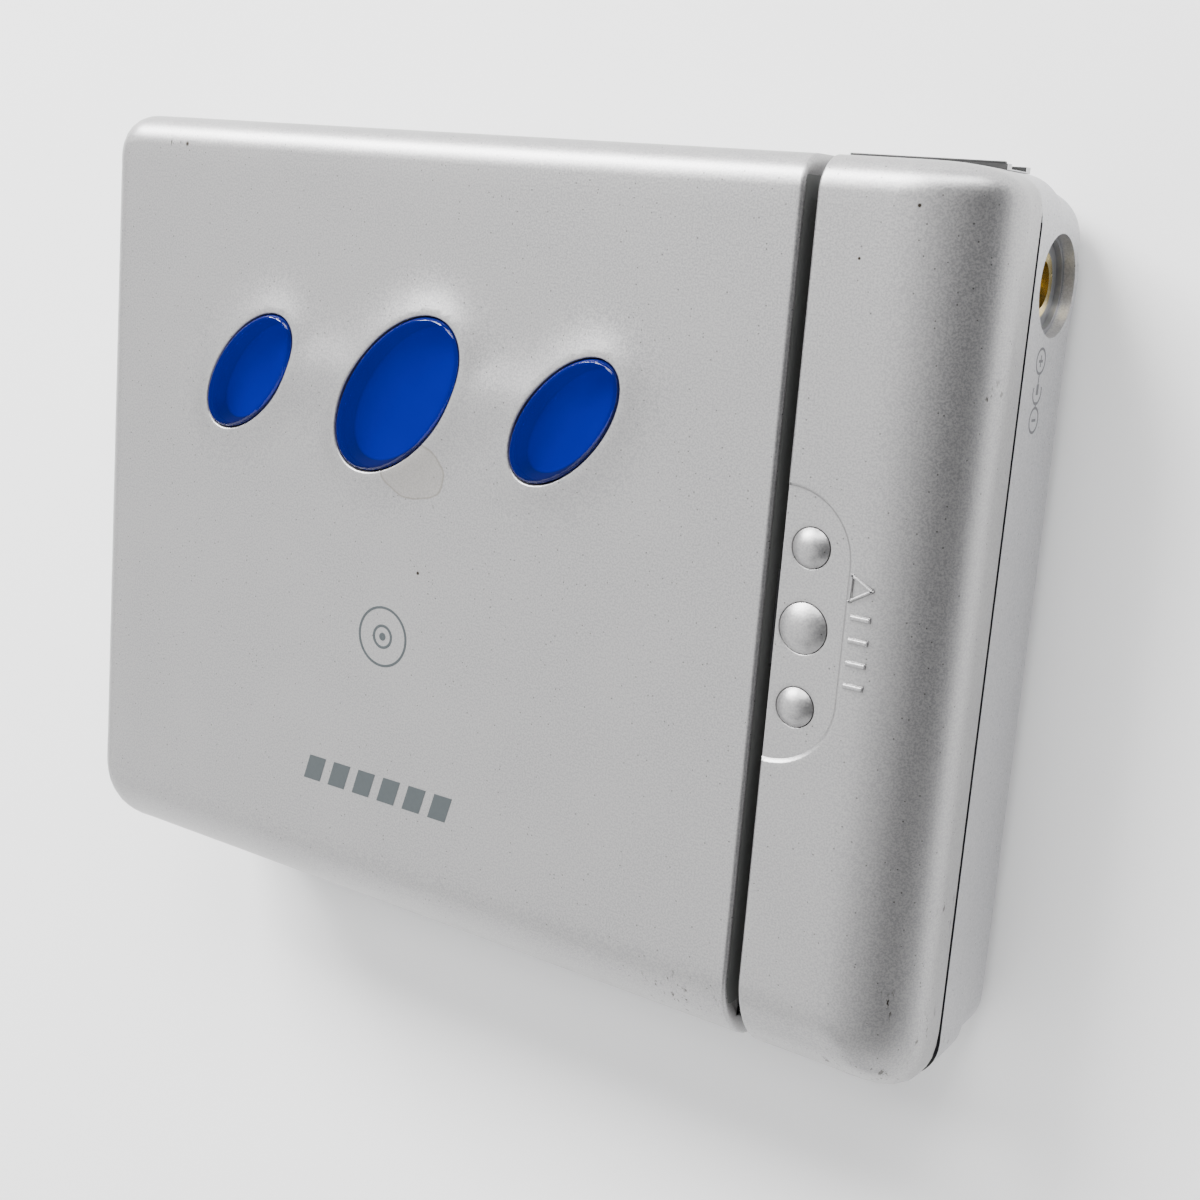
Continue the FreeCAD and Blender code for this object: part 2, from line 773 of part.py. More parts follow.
def release():
    """The sliding release: a D plate with three domes, a stem and a tongue."""
    slab = latch_plan(SEAM + " + run_gap", SEAM + " + window_deep + slab_deep",
                      "window_half + slab_side", "slider_low", "slider_top", size("window_round"))
    domes = []
    for step, radius in ((-1, "dome_small"), (0, "dome_big"), (1, "dome_small")):
        y = "deck_y + %d * dome_pitch" % step
        ball_r = "(%s * %s + dome_tall * dome_tall) / (2 * dome_tall)" % (radius, radius)
        ball = fresh("Part::Sphere", "grip")
        bind(ball, Radius=ball_r)
        place(ball, "dome_x", y, "slider_top + dome_tall - " + ball_r)
        domes.append(common(ball, rod("z", "dome_x", y, "slider_top - 0.2", radius, "2")))
    stem = box(SEAM + " + stem_near", SEAM + " + stem_far", "deck_y - stem_half",
               "deck_y + stem_half", "tongue_low", "slider_low + 0.1")
    tongue = box("tongue_tip", SEAM + " + stem_near + 0.4", "deck_y - stem_half",
                 "deck_y + stem_half", "tongue_low", "tongue_high")
    finish(fuse(slab, *domes, stem, tongue), "open_slider")
    plate_part = box(SEAM + " + guide_near", SEAM + " + guide_far", "deck_y - guide_half",
                     "deck_y + guide_half", "tongue_low - guide_low", "tongue_low - guide_gap")
    stop = box(SEAM + " + guide_far - 1", SEAM + " + guide_far", "deck_y - guide_post",
               "deck_y + guide_post", "tongue_low - 2 * guide_gap", "face_top - skin - 0.6")
    sides = [box(SEAM + " + guide_far - 2.4", SEAM + " + guide_far - 1.6", low,
                 low + " + guide_post", "tongue_low - 2 * guide_gap", "face_top - skin - 0.1")
             for low in ("deck_y - guide_half", "deck_y + guide_half - guide_post")]
    finish(fuse(plate_part, stop, *sides), "release_retainer")


def coil(node, kind, placement):
    """A round-wire coil: mean radius, wire radius, pitch and length are named after its kind."""
    radius = size(kind + "_coil")
    wire = size(kind + "_wire")
    pitch = size(kind + "_pitch")
    tall = size(kind + "_coil_long")
    helix = Part.makeHelix(pitch, tall, radius)
    ring = Part.makeCircle(wire, Vector(radius, 0, 0), Vector(0, 1, pitch / (2 * math.pi * radius)))
    shape = Part.Wire(helix.Edges).makePipeShell([Part.Wire([ring])], True, True)
    thing = doc.addObject("Part::Feature", node)
    thing.Shape = shape
    thing.Placement = placement
    return finish(thing, node)


def springs():
    """Return spring of the release, lid spring round the hinge axis, battery spring."""
    seam = size("case_long") / 2 - size("strip_wide")
    middle = (size("tongue_low") + size("slider_low")) / 2
    start = seam + size("stem_far") + 2 * size("release_wire")
    coil("release_spring", "release",
         Placement(Vector(start, size("deck_y"), middle), TURN_TO["x"]))
    coil("lid_spring", "lid",
         Placement(Vector(-size("hinge_back"), size("lid_coil_y"), size("hinge_up")), TURN_TO["y"]))
    start = size("bay_front") + 2 * size("cell_wire")
    coil("battery_spring", "cell",
         Placement(Vector((size("bay_left") + size("bay_right")) / 2, start, size("cell_up")),
                   TURN_TO["y"]))


# ---------------------------------------------------------------- lower case

def tub(x0, x1, y0, y1, z0, z1, corner, low_edge, label):
    """A block with rounded upright corners and a rounded bottom edge."""
    block = box(x0, x1, y0, y1, z0, z1, label=label)
    upright = along(2)
    plan = rounded(block, (corner, lambda d, m: upright(d)))
    doc.recompute()
    floor = plan.Shape.BoundBox.ZMin
    right = plan.Shape.BoundBox.XMax
    return rounded(plan, (low_edge, lambda d, m: abs(m.z - floor) < 0.01 and abs(d.z) < 0.01))


def base_outer():
    """Outer form of the lower case: a tub with a narrower, deeper step under it."""
    upper = tub(BASE_LEFT, "case_long / 2", "-case_wide / 2", BASE_BACK,
                "step_top - 0.6", "base_top", size("base_corner"), size("upper_edge"), "upper_tub")
    lower = tub(BASE_LEFT + " + step_inset", "case_long / 2",
                "-case_wide / 2 + step_inset", BASE_BACK + " - step_inset",
                "floor_low", "step_top + 0.6", size("base_corner"), size("base_edge"), "lower_tub")
    boss = rod("x", "case_long / 2 - boss_deep", "inlet_y", "inlet_up", "inlet_boss", "boss_deep")
    return fuse(upper, lower, boss, label="base_outer")


def door_box(gap):
    """The part of the lower case that the battery door takes out of it."""
    return box("bay_left + door_side - (%s)" % gap, "bay_right - door_side + (%s)" % gap,
               "-case_wide / 2 - 1", "bay_back - door_end + (%s)" % gap,
               "floor_low - 1", "floor_low + base_wall + (%s)" % gap)


def base_case():
    """The lower case with its posts, battery bay and openings for panel, inlet and keys."""
    upper_room = box(BASE_LEFT + " + base_wall", "case_long / 2 - base_wall",
                     "-case_wide / 2 + base_wall", BASE_BACK + " - base_wall",
                     "step_top", "base_top + 1")
    lower_room = box(BASE_LEFT + " + step_inset + base_wall", "case_long / 2 - base_wall",
                     "-case_wide / 2 + step_inset + base_wall",
                     BASE_BACK + " - step_inset - base_wall",
                     "floor_low + base_wall", "step_top + 1")
    upright = along(2)
    soft_upper = rounded(upper_room, (size("room_corner"), lambda d, m: upright(d)))
    soft_lower = rounded(lower_room, (size("room_corner"), lambda d, m: upright(d)))
    scoop = rod("y", "-hinge_back", "-case_wide / 2 - 1", "hinge_up",
                "ear_radius + hinge_gap", "case_wide + 2")
    shell = cut(base_outer(), soft_upper, soft_lower, scoop)

    posts = []
    for low, high in POST_SPANS:
        posts.append(box("-hinge_back - post_round", "-hinge_back + post_round", low, high,
                         "floor_low + base_edge + floor_bite", "hinge_up"))
        posts.append(rod("y", "-hinge_back", low, "hinge_up", "post_round", "post_out - post_in"))
    for x in ("post_x_left", "post_x_right"):
        for side in ("-", ""):
            posts.append(rod("z", x, "deck_y + (%spost_y)" % side, "floor_low + floor_bite",
                             "post_r", "chassis_low - floor_low - floor_bite"))
    posts.append(rod("z", "cover_screw_x", "cover_screw_y", "floor_low + floor_bite",
                     "cover_boss", "base_top - floor_low - floor_bite"))
    left_rib = box("bay_left - rib", "bay_left", "-case_wide / 2 + 2", "bay_back + rib",
                   "floor_low + floor_bite", "base_top - rib_drop")
    end_rib = box("bay_left - rib", "case_long / 2 - 0.5", "bay_back", "bay_back + rib",
                  "floor_low + floor_bite", "base_top - rib_drop")
    inlet_ring = common(rod("x", "case_long / 2 - ring_deep", "inlet_y", "inlet_up", "inlet_boss",
                            "ring_deep"),
                        box("0", "case_long / 2", "0", "case_wide / 2", "floor_low + 0.3", "base_top"))
    solid = fuse(shell, *posts, left_rib, end_rib, inlet_ring)

    bores = [rod("y", "-hinge_back", "post_in - 1", "hinge_up", "pin_radius + run_gap", "5"),
             rod("y", "-hinge_back", "-post_in - 4", "hinge_up", "pin_radius + run_gap", "5")]
    for x in ("post_x_left", "post_x_right"):
        for side in ("-", ""):
            bores.append(rod("z", x, "deck_y + (%spost_y)" % side, "chassis_low - 5",
                             "screw_r + run_gap", "6"))
    bores.append(rod("z", "cover_screw_x", "cover_screw_y", "floor_low - 1", "screw_r + 0.15", "14"))
    bores.append(rod("z", "cover_screw_x", "cover_screw_y", "floor_low - 1", "screw_head + 0.1", "2.5"))
    inlet = [rod("x", "case_long / 2 - 3", "inlet_y", "inlet_up", "inlet_well", "4")]
    panel_hole = box("panel_left + plug_side - 0.1", "panel_right - plug_side + 0.1",
                     "case_wide / 2 - 3", "case_wide / 2 + 1", "panel_low + 0.3",
                     "panel_high - 0.3")
    half = "(volume_half + volume_play)"
    tall = "(volume_tall + volume_play)"
    key_holes = [box("%s - %s" % (middle, half), "%s + %s" % (middle, half),
                     "-case_wide / 2 - 1", "-case_wide / 2 + base_wall + 1",
                     "volume_up - " + tall, "volume_up + " + tall) for middle in VOLUME_X]
    finish(cut(solid, *bores, *inlet, panel_hole, *key_holes, door_box("door_gap")), "base_case")
    door = common(base_outer(), door_box("0"), label="door_panel")
    return finish(door, "battery_door")


def rubber_feet():
    feet = [rod("z", x, y, "0", "foot_r", "floor_low")
            for x in ("foot_x_left", "foot_x_right") for y in ("-foot_y", "foot_y")]
    return finish(group(*feet), "rubber_feet")


def hinge_pins():
    pins = [rod("y", "-hinge_back", start, "hinge_up", "pin_radius", "pin_long")
            for start in ("post_in", "-post_in - pin_long")]
    return finish(group(*pins), "hinge_pins")


def battery_contact():
    """The plus contact: a plate on the end rib with a raised button."""
    middle = "(bay_left + bay_right) / 2"
    flat = box(middle + " - contact_half", middle + " + contact_half",
               "bay_back - contact_thick", "bay_back", "cell_up - 3.5", "cell_up + 3")
    button = rod("y", middle, "bay_back - button_out", "cell_up", "button_r",
                 "button_out - contact_thick / 2")
    return finish(fuse(flat, button), "battery_contact")


# ---------------------------------------------------------------- deck

def chassis():
    """The deck plate, its rod ears, and the four screws that hold it."""
    screw_spots = [(x, "deck_y + (%spost_y)" % side)
                   for x in ("post_x_left", "post_x_right") for side in ("-", "")]
    slot = rectangle("disc_x - slot_wide / 2", "disc_x + slot_wide / 2", "sled_start + sheet",
                     "chassis_half - 0.6")
    body = plate("chassis_plate", "chassis_low", "chassis_high",
                 rectangle("chassis_left", "chassis_right", "deck_y - chassis_half",
                           "deck_y + chassis_half"),
                 [("disc_x", "deck_y", "table_r + 1"), slot]
                 + [(x, y, "screw_r + 0.1") for x, y in screw_spots])
    ears = []
    bores = []
    rod_x = "disc_x - rod_left"
    screw_x = "disc_x + screw_right"
    for x, low in ((rod_x, "ear_front"), (rod_x, "ear_back"), (screw_x, "ear_back")):
        ears.append(box(x + " - ear_half", x + " + ear_half", low, low + " + ear_thick",
                        "rod_up - 1.7", "chassis_low + 0.1"))
        bores.append(rod("y", x, low + " - 1", "rod_up", "rod_r + run_gap", "3"))
    finish(cut(fuse(body, *ears), *bores), "chassis_plate")
    screws = [fuse(rod("z", x, y, "chassis_high", "screw_head", "head_tall"),
                   rod("z", x, y, "chassis_high - screw_long", "screw_r", "screw_long + 0.2"))
              for x, y in screw_spots]
    finish(group(*screws), "chassis_screws")
    head = "floor_low + cover_head_up"
    cover_screw = fuse(rod("z", "cover_screw_x", "cover_screw_y", head, "screw_head",
                           "head_tall + 0.1"),
                       rod("z", "cover_screw_x", "cover_screw_y", head + " + head_tall",
                           "screw_r - run_gap", "cover_screw_long"))
    finish(cover_screw, "strip_screw")


def spindle():
    """The spindle motor: fixed base and coils, turning cup, magnets, shaft and turntable."""
    turned("spindle_base", "disc_x", "deck_y",
           [("shaft_r + run_gap", "spindle_low"), ("spindle_base_r", "spindle_low"),
            ("spindle_base_r", "spindle_low + base_sheet"), ("bearing_r", "spindle_low + base_sheet"),
            ("bearing_r", "spindle_low + 2.5"), ("shaft_r + run_gap", "spindle_low + 2.5")])
    coils = []
    for step in range(6):
        coils.append(rod("z", "disc_x + coil_ring * cos(%d)" % (60 * step),
                         "deck_y + coil_ring * sin(%d)" % (60 * step),
                         "spindle_low + base_sheet + run_gap", "coil_r", "coil_tall"))
    finish(group(*coils), "spindle_coils")
    turned("rotor_cup", "disc_x", "deck_y",
           [("shaft_r", "rotor_top - rotor_sheet"),
            ("rotor_r - rotor_sheet", "rotor_top - rotor_sheet"),
            ("rotor_r - rotor_sheet", "rotor_low"), ("rotor_r", "rotor_low"),
            ("rotor_r", "rotor_top"), ("shaft_r", "rotor_top")])
    turned("rotor_magnet", "disc_x", "deck_y",
           [("rotor_r - rotor_sheet - magnet_thick", "rotor_low"),
            ("rotor_r - rotor_sheet", "rotor_low"),
            ("rotor_r - rotor_sheet", "rotor_top - rotor_sheet"),
            ("rotor_r - rotor_sheet - magnet_thick", "rotor_top - rotor_sheet")])
    turned("spindle_shaft", "disc_x", "deck_y",
           [("0", "spindle_low + 0.7"), ("shaft_r", "spindle_low + 0.7"),
            ("shaft_r", "hub_top - 0.8"), ("0", "hub_top - 0.8")])
    groove = "table_top - table_groove"
    turned("turntable", "disc_x", "deck_y",
           [("shaft_r", "rotor_top"), ("table_stem", "rotor_top"), ("table_stem", "table_top - 1.8"),
            ("table_r", "table_top - 1.2"), ("table_r", "table_top"),
            ("table_r - table_rim", "table_top"), ("table_r - table_rim", groove),
            ("hub_r", groove), ("hub_r", "hub_top - 0.3"), ("hub_r - 0.6", "hub_top"),
            ("shaft_r", "hub_top")])
    turned("clamp_magnet", "disc_x", "deck_y",
           [("hub_r", groove), ("table_r - table_rim", groove),
            ("table_r - table_rim", "table_top - 0.1"), ("hub_r", "table_top - 0.1")])


def pickup():
    """The laser pickup: sled on its rod, lens actuator and lens."""
    rod_x = "disc_x - rod_left"
    screw_x = "disc_x + screw_right"
    lens_y = "deck_y + lens_out"
    block = box("disc_x - sled_half", "disc_x + sled_half", "sled_start", "sled_end", "sled_low",
                "sled_top")
    left_arm = box(rod_x + " - 2", "disc_x - sled_half + 1", "sled_start + 0.8", "sled_end - 0.8",
                   "rod_up - 1.5", "rod_up + 1.5")
    right_arm = box("disc_x + sled_half - 1", screw_x + " + 2", "sled_start + 1.8",
                    "sled_end - 1.8", "rod_up - 1.7", "rod_up + 1.7")
    bores = [rod("y", rod_x, "sled_start - 1", "rod_up", "rod_r + run_gap", "12"),
             rod("y", screw_x, "sled_start - 1", "rod_up", "rod_r + 2 * run_gap", "12"),
             rod("z", "disc_x", lens_y, "sled_low + 1.1", "lens_r + 0.45", "5")]
    finish(cut(fuse(block, left_arm, right_arm), *bores), "pickup_sled")
    carrier = cut(box("disc_x - carrier_half", "disc_x + carrier_half",
                      lens_y + " - carrier_deep", lens_y + " + carrier_deep", "sled_top",
                      "sled_top + carrier_tall"),
                  rod("z", "disc_x", lens_y, "sled_top - 1", "lens_r + run_gap", "3"))
    finish(carrier, "lens_actuator")
    dome = fresh("Part::Sphere", "lens_dome")
    bind(dome, Radius="lens_ball")
    place(dome, "disc_x", lens_y, "lens_up")
    lens = common(dome, rod("z", "disc_x", lens_y, "sled_top + 0.1", "lens_r", "2"))
    finish(lens, "objective_lens")
    finish(rod("y", rod_x, "rod_start", "rod_up", "rod_r", "rod_end - rod_start"), "guide_rod")


def gear(node, teeth_alias, bore, x, start, wide):
    """A straight spur gear about an axis along +Y: one tooth, repeated round a hub."""
    body = new_body(node)
    pitch_radius = "(gear_module * %s / 2)" % teeth_alias
    root = pitch_radius + " - 1.2 * gear_module"
    tip = pitch_radius + " + 0.85 * gear_module"
    blank = sketch_on(body, "XY_Plane", node + "_blank")
    circle(blank, "0", "0", root)
    circle(blank, "0", "0", bore)
    hub = body.newObject("PartDesign::Pad", node + "_hub")
    hub.Profile = blank
    bind(hub, Length=wide)
    profile = sketch_on(body, "XY_Plane", node + "_tooth")
    polygon(profile, [("-0.50 * gear_module", root + " - 0.05"),
                      ("0.50 * gear_module", root + " - 0.05"),
                      ("0.47 * gear_module", root + " + 0.6 * gear_module"),
                      ("0.22 * gear_module", tip), ("-0.22 * gear_module", tip),
                      ("-0.47 * gear_module", root + " + 0.6 * gear_module")])
    tooth = body.newObject("PartDesign::Pad", node + "_first")
    tooth.Profile = profile
    bind(tooth, Length=wide)
    doc.recompute()
    ring = body.newObject("PartDesign::PolarPattern", node + "_teeth")
    ring.Originals = [tooth]
    ring.Axis = (profile, ["N_Axis"])
    ring.Angle = 360
    ring.Occurrences = int(size(teeth_alias))
    body.Tip = ring
    half_step = 180.0 / size(teeth_alias) if node == "motor_pinion" else 0.0
    body.Placement = Placement(Vector(), TURN_TO["y"] * Rotation(Vector(0, 0, 1), half_step + 90))
    place(body, x, start, "rod_up")
    return finish(body, node)


def sled_drive():
    """The pickup's drive: motor, bracket, pinion, gear and lead screw."""
    screw_x = "disc_x + screw_right"
    motor_x = screw_x + " + gear_module * (gear_teeth + pinion_teeth) / 2"
    thin = "rod_r - 0.3"
    screw = fuse(rod("y", screw_x, "bracket_y", "rod_up", thin, "thread_start + 0.2 - bracket_y"),
                 rod("y", screw_x, "thread_start", "rod_up", "rod_r", "thread_end - thread_start"),
                 rod("y", screw_x, "thread_end", "rod_up", thin, "rod_end - thread_end"))
    finish(screw, "lead_screw")
    gear_start = "bracket_y + bracket_thick + 0.4"
    gear("screw_gear", "gear_teeth", thin, screw_x, gear_start + " + 0.1", "1.5")
    gear("motor_pinion", "pinion_teeth", "motor_shaft_r", motor_x, gear_start, "1.7")
    can_end = "bracket_y - 0.2"
    can = rod("y", motor_x, can_end + " - motor_long", "rod_up", "motor_r", "motor_long")
    nose = rod("y", motor_x, can_end + " - 0.1", "rod_up", "nose_r", "0.9")
    stub = rod("y", motor_x, can_end + " - motor_long - 0.7", "rod_up", "0.9", "0.8")
    hollow = rod("y", motor_x, can_end + " - 0.4", "rod_up", "motor_shaft_r + run_gap", "2")
    finish(cut(fuse(can, nose, stub), hollow), "sled_motor")
    finish(rod("y", motor_x, can_end + " - 0.3", "rod_up", "motor_shaft_r", "3.2"), "motor_shaft")
    flat = box(screw_x + " - 2", motor_x + " + motor_r + 0.2", "bracket_y",
               "bracket_y + bracket_thick", "rod_up - motor_r - 0.1", "chassis_low")
    bracket = cut(flat, rod("y", screw_x, "bracket_y - 1", "rod_up", thin + " + run_gap", "3"),
                  rod("y", motor_x, "bracket_y - 1", "rod_up", "nose_r + run_gap", "3"))
    finish(bracket, "motor_bracket")


# ---------------------------------------------------------------- electronics

def electronics():
    """The main board and what stands on it."""
    post_spots = [("post_x_left", "deck_y - post_y", "post_r + 0.3"),
                  ("post_x_left", "deck_y + post_y", "post_r + 0.3"),
                  ("post_x_right", "deck_y - post_y", "post_r + 0.3")]
    outline = [("board_left", "board_front"), ("board_right", "board_front"),
               ("board_right", "board_notch_y"), ("board_notch_x", "board_notch_y"),
               ("board_notch_x", "board_back"), ("board_left", "board_back")]
    finish(plate("main_board", "board_low", "board_high", outline, post_spots), "main_board")

    def chip(x, y, wide, deep, tall):
        """A block that stands on the board, from its left front corner."""
        return box("board_left + %.2f" % x, "board_left + %.2f" % (x + wide),
                   "board_front + %.2f" % y, "board_front + %.2f" % (y + deep),
                   "board_high", "board_high + " + tall)

    finish(chip(7.6, 18.5, 13, 13, "chip_tall"), "decoder_chip")
    finish(chip(7.6, 38.5, 8, 8, "chip_tall"), "servo_chip")
    finish(chip(57.6, 10.5, 7, 7, "chip_tall"), "driver_chip")
    parts = [chip(57.6 + 3 * step, 4.5, 2, 2.5, "1") for step in range(4)]
    parts += [chip(23.6 + 4 * step, 9.5, 2.4, 4, "1.6") for step in range(4)]
    parts += [rod("z", "board_left + 67.6", "board_front + %.2f" % y, "board_high", "2.4", "5")
              for y in (26.5, 32.5)]
    parts.append(chip(11.6, 7.5, 8, 3.4, "2.4"))
    finish(group(*parts), "board_parts")
    finish(chip(7.6, 51.5, 10, 3, "2"), "board_connector")


def power_inlet():
    """The inlet in its well: black housing, brass sleeve and centre pin."""
    face = "case_long / 2"
    block = box(face + " - 11.6", face + " - base_wall - 1.05", "inlet_y - 4.6", "inlet_y + 4.6",
                "floor_low + base_wall + 0.2", "inlet_up + 4.4")
    flange = rod("x", face + " - 2.4", "inlet_y", "inlet_up", "inlet_well - 0.05", "1.4")
    step = rod("x", face + " - 1.5", "inlet_y", "inlet_up", "inlet_step", "2")
    bore = rod("x", face + " - sleeve_deep", "inlet_y", "inlet_up", "sleeve_out", "12")
    finish(cut(fuse(block, flange), step, bore), "inlet_housing")
    sleeve = cut(rod("x", face + " - sleeve_deep", "inlet_y", "inlet_up", "sleeve_out",
                     "sleeve_deep - 1.5"),
                 rod("x", face + " - pin_deep", "inlet_y", "inlet_up", "sleeve_in", "pin_deep"))
    finish(sleeve, "inlet_sleeve")
    pin = fuse(rod("x", face + " - pin_deep", "inlet_y", "inlet_up", "inlet_pin_r",
                   "inlet_pin_long"),
               cone("x", face + " - pin_deep + inlet_pin_long", "inlet_y", "inlet_up",
                    "inlet_pin_r", "pin_tip", "pin_tip"))
    finish(pin, "inlet_pin")


def side_panel():
    """The dark panel on the jack side, with the headphone jack and the hold switch."""
    face = "case_wide / 2 + panel_proud"
    inside = BASE_BACK + " - base_wall - 0.1"
    skin_part = box("panel_left", "panel_right", BASE_BACK, face, "panel_low", "panel_high")
    plug = box("panel_left + plug_side", "panel_right - plug_side", BASE_BACK + " - base_wall",
               BASE_BACK + " + 0.1", "panel_low + 0.5", "panel_high - 0.5")
    jack_hole = rod("y", "phone_x", "case_wide / 2 - 3", "phone_up", "bush_r", "5")
    slot = box("hold_x - hold_half - 0.1", "hold_x + hold_half + 0.1 + hold_travel",
               "case_wide / 2 - 3", face + " + 1", "phone_up - slot_half", "phone_up + slot_half")
    recess = box("hold_x - hold_half - hold_play", "hold_x + hold_half + hold_play + hold_travel",
                 "case_wide / 2 - 0.1", face + " + 1", "phone_up - hold_tall - 0.3",
                 "phone_up + hold_tall + 0.3")
    finish(cut(fuse(skin_part, plug), jack_hole, slot, recess), "side_panel")
    jack = cut(box("phone_x - jack_half", "phone_x + jack_half", "jack_start", inside,
                   "phone_up - jack_half - 0.1", "phone_up + jack_half + 0.1"),
               rod("y", "phone_x", "jack_bottom", "phone_up", "phone_r", "20"))
    finish(jack, "headphone_jack")
    bush = cut(rod("y", "phone_x", inside, "phone_up", "bush_r",
                   "base_back + base_wall + 0.1 + panel_proud"),
               rod("y", "phone_x", "jack_bottom", "phone_up", "phone_r", "20"))
    finish(bush, "headphone_bush")
    knob_top = "case_wide / 2 + hold_proud"
    cap = box("hold_x - hold_half", "hold_x + hold_half", "case_wide / 2", knob_top,
              "phone_up - hold_tall", "phone_up + hold_tall")
    grooves = []
    for step in (-1.5, -0.5, 0.5, 1.5):
        middle = "hold_x + %.1f * groove_pitch" % step
        grooves.append(box(middle + " - hold_groove / 2", middle + " + hold_groove / 2",
                           knob_top + " - hold_groove / 2", knob_top + " + 1",
                           "phone_up - hold_tall - 1", "phone_up + hold_tall + 1"))
    neck = box("hold_x - 1", "hold_x + 1", BASE_BACK + " - base_wall - 0.6",
               "case_wide / 2 + 0.2", "phone_up - slot_half + 0.2", "phone_up + slot_half - 0.2")
    finish(fuse(cut(cap, *grooves), neck), "hold_knob")
    body = cut(box("hold_x - hold_half - slot_half", "hold_x + hold_half + 0.1 + hold_travel",
                   "switch_start", inside, "phone_up - hold_tall - 0.1",
                   "phone_up + hold_tall + 0.1"),
               box("hold_x - 1.2", "hold_x + 1.2 + hold_travel", "switch_start + 1.4",
                   "case_wide / 2", "phone_up - slot_half", "phone_up + slot_half"))
    finish(body, "hold_switch")


def volume_keys():
    """Two small keys on the front side and the switches behind them."""
    wall = "-case_wide / 2"
    flat = along(1)
    for node, middle in zip(("volume_down_key", "volume_up_key"), VOLUME_X):
        cap = box(middle + " - volume_half", middle + " + volume_half", wall + " - volume_proud",
                  wall + " + 2", "volume_up - volume_tall", "volume_up + volume_tall")
        soft = rounded(cap, (size("volume_soft"), lambda d, m: flat(d)))
        flange = box(middle + " - volume_flange", middle + " + volume_flange",
                     wall + " + base_wall + 0.1", wall + " + 2", "volume_up - volume_lip",
                     "volume_up + volume_lip")
        nub = rod("y", middle, wall + " + 1.9", "volume_up", "nub_r", "0.5")
        finish(fuse(soft, flange, nub), node)
    top = "volume_up + 1.2"
    switches = [box(middle + " - 2", middle + " + 2", wall + " + switch_near",
                    wall + " + switch_far", "volume_up - 1.7", top) for middle in VOLUME_X]
    strip = box("volume_x - switch_board", "volume_x + switch_board", wall + " + switch_far",
                wall + " + switch_far + base_sheet", "board_high", top)
    finish(fuse(strip, *switches), "volume_switches")


def check_and_write():
    """Stop on a failed feature or a bad shape, then write each piece."""
    doc.recompute()
    for thing in doc.Objects:
        if "Invalid" in thing.State or "Error" in thing.State:
            raise RuntimeError("%s failed: %s" % (thing.Name, thing.State))
    os.makedirs("parts", exist_ok=True)
    for piece in pieces:
        shape = piece.Shape
        if shape.isNull() or not shape.isValid() or not shape.Solids:
            raise RuntimeError("%s has a bad shape" % piece.Label)
    for piece in pieces:
        piece.Shape.exportStep("parts/%s.step" % piece.Label)
        print("%-18s solids %d  volume %9.2f" % (piece.Label, len(piece.Shape.Solids),
                                                piece.Shape.Volume))


lid_cover()
for key_node in KEYS:
    lid_key(key_node)
key_circuit()
disc_holder()
strip_cover()
release()
springs()
base_case()
rubber_feet()
hinge_pins()
battery_contact()
chassis()
spindle()
pickup()
sled_drive()
electronics()
power_inlet()
side_panel()
volume_keys()
check_and_write()
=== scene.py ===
import math
from collections import namedtuple

import bmesh
import bpy
from mathutils import Euler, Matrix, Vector


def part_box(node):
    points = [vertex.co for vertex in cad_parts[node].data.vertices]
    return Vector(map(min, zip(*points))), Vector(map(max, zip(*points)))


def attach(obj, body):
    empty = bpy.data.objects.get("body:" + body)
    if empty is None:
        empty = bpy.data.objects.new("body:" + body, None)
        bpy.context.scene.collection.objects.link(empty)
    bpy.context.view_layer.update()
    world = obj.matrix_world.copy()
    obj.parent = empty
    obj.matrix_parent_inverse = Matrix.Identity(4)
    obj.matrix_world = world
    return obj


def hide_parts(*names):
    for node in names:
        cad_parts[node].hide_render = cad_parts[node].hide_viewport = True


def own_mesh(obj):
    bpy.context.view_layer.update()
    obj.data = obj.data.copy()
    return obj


# A portable MiniDisc player in silver paint with three blue oval keys.
# Row frame: +Z out of the lid, +X towards the fixed strip, +Y towards the jack side.
# Sizes are in millimetres and are scaled to metres where meshes and positions are made.

MM = 0.001
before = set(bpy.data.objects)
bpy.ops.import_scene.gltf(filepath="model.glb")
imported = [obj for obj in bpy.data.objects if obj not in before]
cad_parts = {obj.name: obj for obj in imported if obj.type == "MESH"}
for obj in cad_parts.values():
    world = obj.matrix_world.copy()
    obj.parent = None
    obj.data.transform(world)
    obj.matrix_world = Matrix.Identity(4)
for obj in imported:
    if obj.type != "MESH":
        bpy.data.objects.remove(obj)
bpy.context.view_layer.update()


def limits(node):
    """Lowest and highest corner of a CAD node, in millimetres."""
    low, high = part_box(node)
    return low / MM, high / MM


LID_LOW, LID_HIGH = limits("lid_cover")
STRIP_LOW, STRIP_HIGH = limits("strip_cover")
BASE_HIGH = limits("base_case")[1]

# Levels: the painted top, the line where the covers meet the lower case, and its rim.
MARK_RAISE = 0.25
FACE = STRIP_HIGH.z - MARK_RAISE
PART_LINE = STRIP_LOW.z
BASE_RIM = 12.65

# Shells: the wall, the small edge along the seam, and how far each rounding reaches in.
WALL = 1.2
SEAM_EDGE = 0.45
FRONT_ROUND = 8.4
BACK_ROUND = 3.0
STRIP_ROUND = 9.0
STRIP_DROP = 5.8
HINGE_NOTCH = (32.3, 36.2)
HINGE_NOTCH_TOP = 17.0
MOUTH = (-37.5, 38.8)
MOUTH_TOP = 18.3

